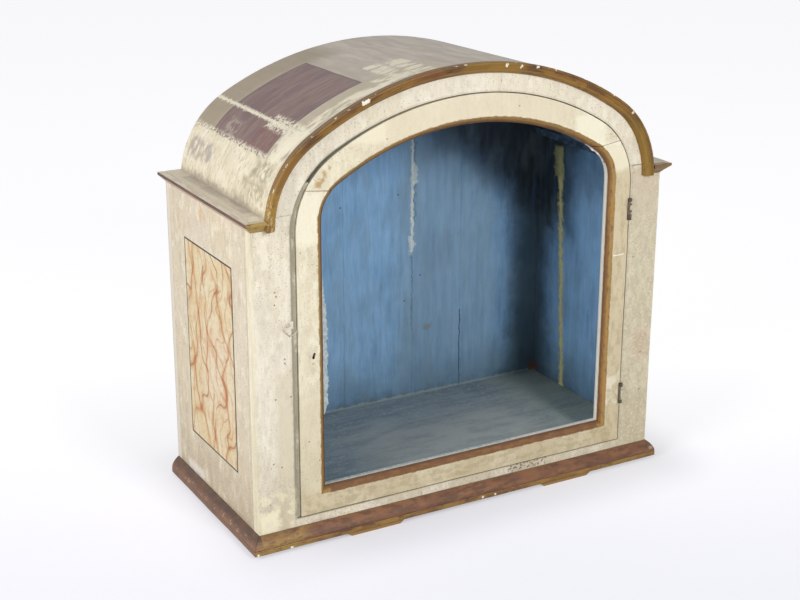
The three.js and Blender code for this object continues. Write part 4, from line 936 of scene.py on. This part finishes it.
lines = [u_line(arch, bottom, *(z - HEAD_GAP for z in DOOR_JOINTS[k])) for k, (arch, bottom) in DOOR_LINES.items()]
door_frame = closed_grid("door_frame", frame_rings(*lines, DOOR_BACK_Y, CHAMFER), DOOR_BANDS)
cut_hinges(door_frame, -1)
cut(door_frame, block("lock_pocket", *LOCK_POCKET))
turn = np.linspace(0, 2 * np.pi, 24, endpoint=False)
slot_x = KEYHOLE_RADIUS * np.cos(turn)
slot_z = KEYHOLE_RADIUS * np.sin(turn) + KEYHOLE_REACH * np.sign(np.sin(turn) + 1e-9)
slot = np.stack([KEYHOLE_AT[0] + slot_x * math.cos(KEYHOLE_LEAN) + slot_z * math.sin(KEYHOLE_LEAN), 0 * turn,
                 KEYHOLE_AT[1] + slot_z * math.cos(KEYHOLE_LEAN) - slot_x * math.sin(KEYHOLE_LEAN)], 1)
cut(door_frame, closed_grid("keyhole", np.stack([slot + (0, BEFORE_FACE, 0), slot + (0, -150, 0)])))
stiles_and_rail = [f"door_{part}" for part in ("stile_left", "stile_right", "bottom_rail")]
dress(door_frame, [door], "door", stiles_and_rail)

lines = [head_line(arch, *DOOR_JOINTS[k]) for k, (arch, bottom) in DOOR_LINES.items()]
door_head = closed_grid("door_head", frame_rings(*lines, DOOR_BACK_Y, CHAMFER), DOOR_BANDS)
dress(door_head, [door], "door", ["door_arch_head"])

# %% [markdown]
# A pane of glass was once puttied into the door. What is left is a ragged bead round the back half of the
# sight, thickest down the latch side and at the right haunch, where it has come half away.

# %% Putty
BEAD, LEFT_WIDTH, HAUNCH_WIDTH, THINNEST, WIDEST = 0.5, 9.5, 3.4, 0.15, 12
hole = u_line(sight, SIGHT_LOW + CHAMFER, 520.0, 594.0, (160, 80))
over_hole = length_along(hole)
down_left = np.clip((318 - over_hole) / 30, 0, 1) * np.clip((over_hole - 60) / 90, 0, 1)
at_haunch = np.exp(-((over_hole - over_hole[-1] + 24) / 12) ** 2)
torn_edge = wave(over_hole, (0.5, 13.7, 0), (0.4, 7.9, 1), (0.35, 4.3, 2), (0.6, 41, 0.5))
proud = BEAD + (LEFT_WIDTH + 1.5 * torn_edge) * down_left + (HAUNCH_WIDTH + torn_edge) * at_haunch + 0.2 * torn_edge
proud = np.clip(proud, THINNEST, WIDEST)
tangent = np.gradient(hole, axis=0)
inwards = np.stack([-tangent[:, 1], tangent[:, 0]], 1) / np.linalg.norm(tangent, axis=1)[:, None]
rows = [np.stack([hole[:, 0] + inwards[:, 0] * by, np.full(len(hole), y), hole[:, 1] + inwards[:, 1] * by], 1)
        for y, by in ((-152.5, 0.05), (-152.0, 0.6 * proud), (-150.8, proud), (-148.5, 0.9 * proud), (-146.8, 0.05))]
dress(closed_grid("glazing_putty", np.stack(rows, 1)), [putty], "door", [], bevel=0.0)

# %% [markdown]
# ## Moulding shapes
# A moulding is a section carried along a path. Round the arch every point of the section follows its own
# grown arch, and the moulding is in three lengths that meet on the lines through the crown's centre.

# %% Arch moulding
def quadratic(a, b, c, n):
    """Points from a to c on the quadratic curve that b pulls: (1-t)^2 a + 2t(1-t) b + t^2 c."""
    t = np.linspace(0, 1, n)[:, None]
    return (1 - t) ** 2 * np.array(a) + 2 * t * (1 - t) * np.array(b) + t ** 2 * np.array(c)


ARCH_WIDTH, ARCH_OUT = 18.0, 13.0
arch_section = np.concatenate([[(0, 0.3), (0, 11.5), (1.5, ARCH_OUT), (4, ARCH_OUT)],
                               quadratic((4, 11.5), (15.3, 11.5), (ARCH_WIDTH, 1.5), 9), [(ARCH_WIDTH, 0.3)]])
PROUD_OF_VAULT, JOINTS_X, HALF_JOINT = 1.5, (216, -187), 0.0003
moulding_arch = grown(vault_front, PROUD_OF_VAULT)
right_joint, left_joint = (float(np.arccos(x / moulding_arch.crown)) for x in JOINTS_X)
for name, start, end in (("right", 0.0, right_joint - HALF_JOINT),
                         ("crown", right_joint + HALF_JOINT, left_joint - HALF_JOINT),
                         ("left", left_joint + HALF_JOINT, np.pi)):
    angle = np.linspace(start, end, 160 if name == "crown" else 110)
    nibbled = wave(angle * 400, (0.25, 37, 0.0), (0.2, 16.3, 1.0), (0.15, 7.7, 2.0))
    rows = []
    for inwards, out in arch_section:
        x, z = arch_points(grown(moulding_arch, -inwards), angle)
        rows.append(np.stack([x, FACE_Y - out + 0.5 * (out > 11) * nibbled, z], 1))
    bands = length_along(arch_section)
    laid = np.stack(np.broadcast_arrays(length_along(rows[0])[:, None], bands[None, :]), 2)
    made = closed_grid(f"gilt_arch_{name}", np.stack(rows, 1), bands, laid)
    dress(made, [arch_gilt], "case", [f"arch_moulding_{name}"], bevel=0.5)

# %% [markdown]
# Along the plinth and the cornice the section runs straight. It is mitred at the front corners, with a
# hair's breadth between the two lengths, and ends square at the back. The outer members wave a little.

# %% Plinth and cornice
MITRE = 0.3 / math.sqrt(2)
PLINTH_Z, CORNICE_Z, OUT = 5.0, 531.0, 14.0
plinth_section = np.concatenate([[(0.3, 0), (13.2, 0), (OUT, 0.8), (OUT, 8.5), (13.2, 9.3)],
                                 quadratic((OUT, 10.1), (12.32, 20.3), (0.3, 29), 9)])
cornice_section = np.concatenate([quadratic((0.3, 0), (5.04, 5.4), (OUT, 13.5), 9), [(OUT, 18), (0.3, 18)]])


def front_run(section, z, start, end, n):
    """Stations across the front; an end of -1 or 1 is mitred at that corner, any other is a square x."""
    ends = [v * (HALF_WIDTH + section[:, 0] - MITRE) if abs(v) == 1 else np.full(len(section), float(v))
            for v in (start, end)]
    t = np.linspace(0, 1, n)[:, None]
    x = ends[0] * (1 - t) + ends[1] * t
    out = section[:, 0] + wave(x, (0.2, 230, 0.5), (0.12, 61, 2.0)) * (section[:, 0] > 5)
    return np.stack([x, FACE_Y - out, np.broadcast_to(z + section[:, 1], x.shape)], 2)


def side_run(section, z, side, n):
    """Stations back along one side, mitred at the front and square at the back."""
    t = np.linspace(0, 1, n)[:, None]
    y = (FACE_Y - section[:, 0] + MITRE) * (1 - t) + BACK_Y * t
    out = section[:, 0] + wave(y, (0.2, 190, 1.5), (0.12, 53, 0.4)) * (section[:, 0] > 5) * np.sin(np.pi * t) ** 0.3
    return np.stack([side * (HALF_WIDTH + out), y, np.broadcast_to(z + section[:, 1], y.shape)], 2)


def moulding(name, rings, section, finish, replaced):
    """One length of moulding, whose band is the distance round its section."""
    dress(closed_grid(name, rings, length_along(section)), [finish], "case", [replaced])


RETURN_END = 358.8
moulding("plinth_moulding_front", front_run(plinth_section, PLINTH_Z, -1, 1, 90), plinth_section, plinth,
         "plinth_front")
for name, side in (("left", -1), ("right", 1)):
    moulding(f"plinth_moulding_{name}", side_run(plinth_section, PLINTH_Z, side, 50), plinth_section, plinth,
             f"plinth_{name}")
    moulding(f"cornice_moulding_{name}", side_run(cornice_section, CORNICE_Z, side, 50), cornice_section, cornice,
             f"cornice_{name}")
    moulding(f"cornice_moulding_{name}_return", front_run(cornice_section, CORNICE_Z, side, side * RETURN_END, 8),
             cornice_section, return_gilt, f"cornice_return_{name}")

# %% [markdown]
# ## The vault
# Nine staves bent to the arch, painted over as one surface. Its crown falls 9 mm to the back and its
# feet draw in 4 mm, so the arch is worked out again at every depth. The staves' joints show as faint
# hollows, and one has opened into a ragged ridge of filler.

# %% Vault
VAULT_FOOT, STAVE, OPEN_JOINT = 549.3, 9.0, 160
STAVE_JOINTS = np.array([82, 164, 262, 360, 458, 556, 640, 722])
depths = np.linspace(0, DEPTH, 80)[:, None]


def vault_angles(haunch, n):
    """The angles that a vault of this haunch faces, from its left foot over the crown to its right foot."""
    start = math.asin((VAULT_FOOT - SPRING) / haunch)
    return np.linspace(np.pi - start, start, n)[None, :]


outer_arch, angle = vault_at(depths), vault_angles(HAUNCH, 260)
haunch_length, crown_length = HAUNCH * outer_arch.turn, outer_arch.crown * (np.pi - 2 * outer_arch.turn)
facing = np.pi - angle
over_crown = haunch_length + outer_arch.crown * (facing - outer_arch.turn)
over_right = haunch_length + crown_length + HAUNCH * (facing - np.pi + outer_arch.turn)
over_arch = np.where(facing < outer_arch.turn, HAUNCH * facing,
                     np.where(facing < np.pi - outer_arch.turn, over_crown, over_right))
nearest = np.abs(over_arch[:, :, None] - STAVE_JOINTS).min(2)
wandering = wave(depths, (1.5, 71, 0), (1.0, 23, 1))
ridge = np.exp(-((over_arch - OPEN_JOINT + wandering) / 2.2) ** 2) * (depths > 30)
proud = -0.35 * np.exp(-(nearest / 3) ** 2) + 0.8 * ridge * (0.6 + 0.4 * np.sin(depths * 0.9))
x, z = arch_points(outer_arch, angle)
rows = [np.stack([x + proud * np.cos(angle), FACE_Y + depths + 0 * x, z + proud * np.sin(angle)], 2)]
x, z = arch_points(grown(outer_arch, -STAVE), vault_angles(HAUNCH - STAVE, 130))
rows.append(np.stack([x, FACE_Y + depths + 0 * x, z], 2)[:, ::-1])
laid = np.stack(np.broadcast_arrays(np.concatenate([over_arch, 0 * x], 1), depths), 2)
made = closed_grid("vault_shell", np.concatenate(rows, 1), laid_out=laid)
dress(made, [vault, walls], "case", [f"vault_stave_{i}" for i in range(1, 10)], bevel=0.0,
      choose=lambda centres, normals: (normals[:, 2] < -0.02) & (centres[:, 2] > VAULT_FOOT + 1))

# %% [markdown]
# ## Sides
# Each side is two boards edge to edge, painted outside as one and blue inside.

# %% Sides
CUPPED, WALL = 0.35, 22.0


def slab_rings(low, high, n=40, across=12):
    """Stations up a board: at each height a rectangle. Its faces are hollowed by a product of two sines."""
    (x0, y0, z0), (x1, y1, z1) = low, high
    y = np.linspace(y0, y1, across)
    loop = np.concatenate([np.stack([np.full(across, x0), y], 1), np.stack([np.full(across, x1), y[::-1]], 1)])
    z = np.broadcast_to(np.linspace(z0, z1, n)[:, None], (n, 2 * across))
    hollow = CUPPED * np.sin(np.pi * (loop[:, 1] - y0) / (y1 - y0)) * np.sin(np.pi * (z - z0) / (z1 - z0))
    return np.stack([loop[:, 0] - np.sign(x0) * hollow, np.broadcast_to(loop[:, 1], z.shape), z], 2)


for name, side in (("left", -1), ("right", 1)):
    x0, x1 = sorted((side * (HALF_WIDTH - WALL), side * HALF_WIDTH))
    made = closed_grid(f"side_{name}", slab_rings((x0, -144.7, RIM_LOW), (x1, 164.7, 536.7)))
    dress(made, [side_paint, walls], "case", [f"side_{name}_front_board", f"side_{name}_rear_board"],
          choose=lambda centres, normals, side=side: normals[:, 0] * side < -0.5)

# %% [markdown]
# ## Finishes on the kept solids
# The base, floor, planks, ledges and ironwork are right as they are and only take a finish.

# %% Kept solids
KEPT = (
    (facade, ["ledge_left", "ledge_right"]),
    (walls, [f"back_plank_{i}" for i in range(1, 6)]),
    (floor_paint, ["floor_board"]),
    (base_pine, ["runner_left", "runner_right", "base_board", "floor_bearer_left", "floor_bearer_right"]),
    (strip, ["latch_stop_strip"]),
    (iron, ["lock_case", "lock_bolt", "upper_hinge_pin", "lower_hinge_pin"]),
    (painted_iron, [f"{h}_hinge_{p}_leaf" for h in ("upper", "lower") for p in ("frame", "door")]),
    (painted_wire, ["latch_wire", "latch_nail"]),
)
for finish, names in KEPT:
    for name in names:
        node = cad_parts[name]
        node.data.materials.clear()
        node.data.materials.append(finish.material)
print("kept solids:", sum(len(names) for finish, names in KEPT))

# %% [markdown]
# ## Floor, background and light
# The shadows inside show one soft lamp high in front, a little to the right; the even left side shows
# another on the left. The floor shows the camera its own near white and keeps part of the object's shadow.

# %% Stage
scene.view_settings.view_transform = "Standard"
floor_mesh = bpy.data.meshes.new("studio_floor")
REACH = 40.0
corners = [(x * REACH, y * REACH, 0) for x, y in ((-1, -1), (1, -1), (1, 1), (-1, 1))]
floor_mesh.from_pydata(corners, [], [(0, 1, 2, 3)])
floor = bpy.data.objects.new("studio_floor", floor_mesh)
scene.collection.objects.link(floor)
paper = bpy.data.materials.new("white_paper_sweep")
paper.use_nodes = True
tree = paper.node_tree
tree.nodes.remove(tree.nodes["Principled BSDF"])


def seen_by_camera(tree):
    """1 for rays that come from the camera or a glossy reflection, and 0 for the light itself."""
    ray = add(tree, "LightPath").outputs
    return add(tree, "Math", {0: ray["Is Camera Ray"], 1: ray["Is Glossy Ray"]}, operation="MAXIMUM")


def outside(tree, place, half):
    """Distance in metres from a rectangle of these half sides about the middle: |max(|place| - half, 0)|."""
    past = add(tree, "VectorMath", {0: add(tree, "VectorMath", {0: place}, operation="ABSOLUTE"), 1: half},
               operation="SUBTRACT")
    past = add(tree, "VectorMath", {0: past, 1: (0, 0, 0)}, operation="MAXIMUM")
    return add(tree, "VectorMath", {0: past}, operation="LENGTH").outputs["Value"]


TO_BACK, CLEAR_OF_PIECE, FOOTPRINT = (0.487, 0.873, 0), 1.2, (0.37, 0.175, 0)
GLOW_IN_FRONT, GLOW_BEHIND, SHADOW, SHADOW_REACH, GLOW_SHARE = 1.27, 1.83, 0.46, 0.15, 0.42
place = add(tree, "TexCoord").outputs["Object"]
behind = add(tree, "VectorMath", {0: place, 1: TO_BACK}, operation="DOT_PRODUCT").outputs["Value"]
away = add(tree, "VectorMath", {0: place}, operation="LENGTH").outputs["Value"]
away = add(tree, "Math", {0: away, 1: CLEAR_OF_PIECE}, operation="SUBTRACT")
away = add(tree, "Math", {0: away, 1: behind}, operation="MAXIMUM")
bright = add(tree, "MapRange", {0: away, 1: -0.44, 2: 0.5, 3: GLOW_IN_FRONT, 4: GLOW_BEHIND})
# Near the footprint, to the front and right, the floor's glow is dimmed: a painted soft shadow.
beside = outside(tree, place, FOOTPRINT)
near = add(tree, "MapRange", {0: beside, 1: 0.0, 2: SHADOW_REACH, 3: SHADOW, 4: 0.0}, interpolation_type="SMOOTHSTEP")
to_right = add(tree, "MapRange", {0: add(tree, "SeparateXYZ", {0: place}).outputs["X"], 1: -0.5, 2: -0.2})
near = add(tree, "Math", {0: near, 1: to_right}, operation="MULTIPLY")
bright = add(tree, "Math", {0: bright, 1: near}, operation="SUBTRACT")
tint = add(tree, "MapRange", {0: away, 1: -0.3, 2: 0.2, 3: 0.0, 4: 1.0})
shade = add(tree, "Mix", {0: tint, 6: "#f9f9ff", 7: "#ffffff"}, data_type="RGBA")
glow = add(tree, "Emission", {"Color": shade, "Strength": bright})
share = add(tree, "Math", {0: seen_by_camera(tree), 1: GLOW_SHARE}, operation="MULTIPLY")
mixed = add(tree, "MixShader", {0: share, 1: add(tree, "BsdfDiffuse", {"Color": "#e9e9f0"}), 2: glow})
tree.links.new(mixed.outputs[0], tree.nodes["Material Output"].inputs["Surface"])
floor_mesh.materials.append(paper)

world = bpy.data.worlds.new("white_studio")
world.use_nodes = True
scene.world = world
tree = world.node_tree
LIT_BY, SEEN_AS = 0.34, 0.96
strength = add(tree, "MapRange", {0: seen_by_camera(tree), 3: LIT_BY, 4: SEEN_AS})
background = tree.nodes["Background"]
background.inputs["Color"].default_value = linear("#fcfcff")
tree.links.new(strength.outputs[0], background.inputs["Strength"])


def soft_lamp(name, at, aim, size, watts):
    """A square area lamp of this size in metres, pointing from one place at another."""
    lamp = bpy.data.lights.new(name, "AREA")
    lamp.energy, lamp.size = watts, size
    made = bpy.data.objects.new(name, lamp)
    scene.collection.objects.link(made)
    made.location = at
    made.rotation_euler = (Vector(aim) - Vector(at)).to_track_quat("-Z", "Y").to_euler()


soft_lamp("front_lamp", (0.2, -3.15, 1.84), aim=(0, 0, 0.35), size=0.7, watts=52)
soft_lamp("left_lamp", (-3.0, -0.9, 1.5), aim=(0, 0, 0.3), size=1.6, watts=64)
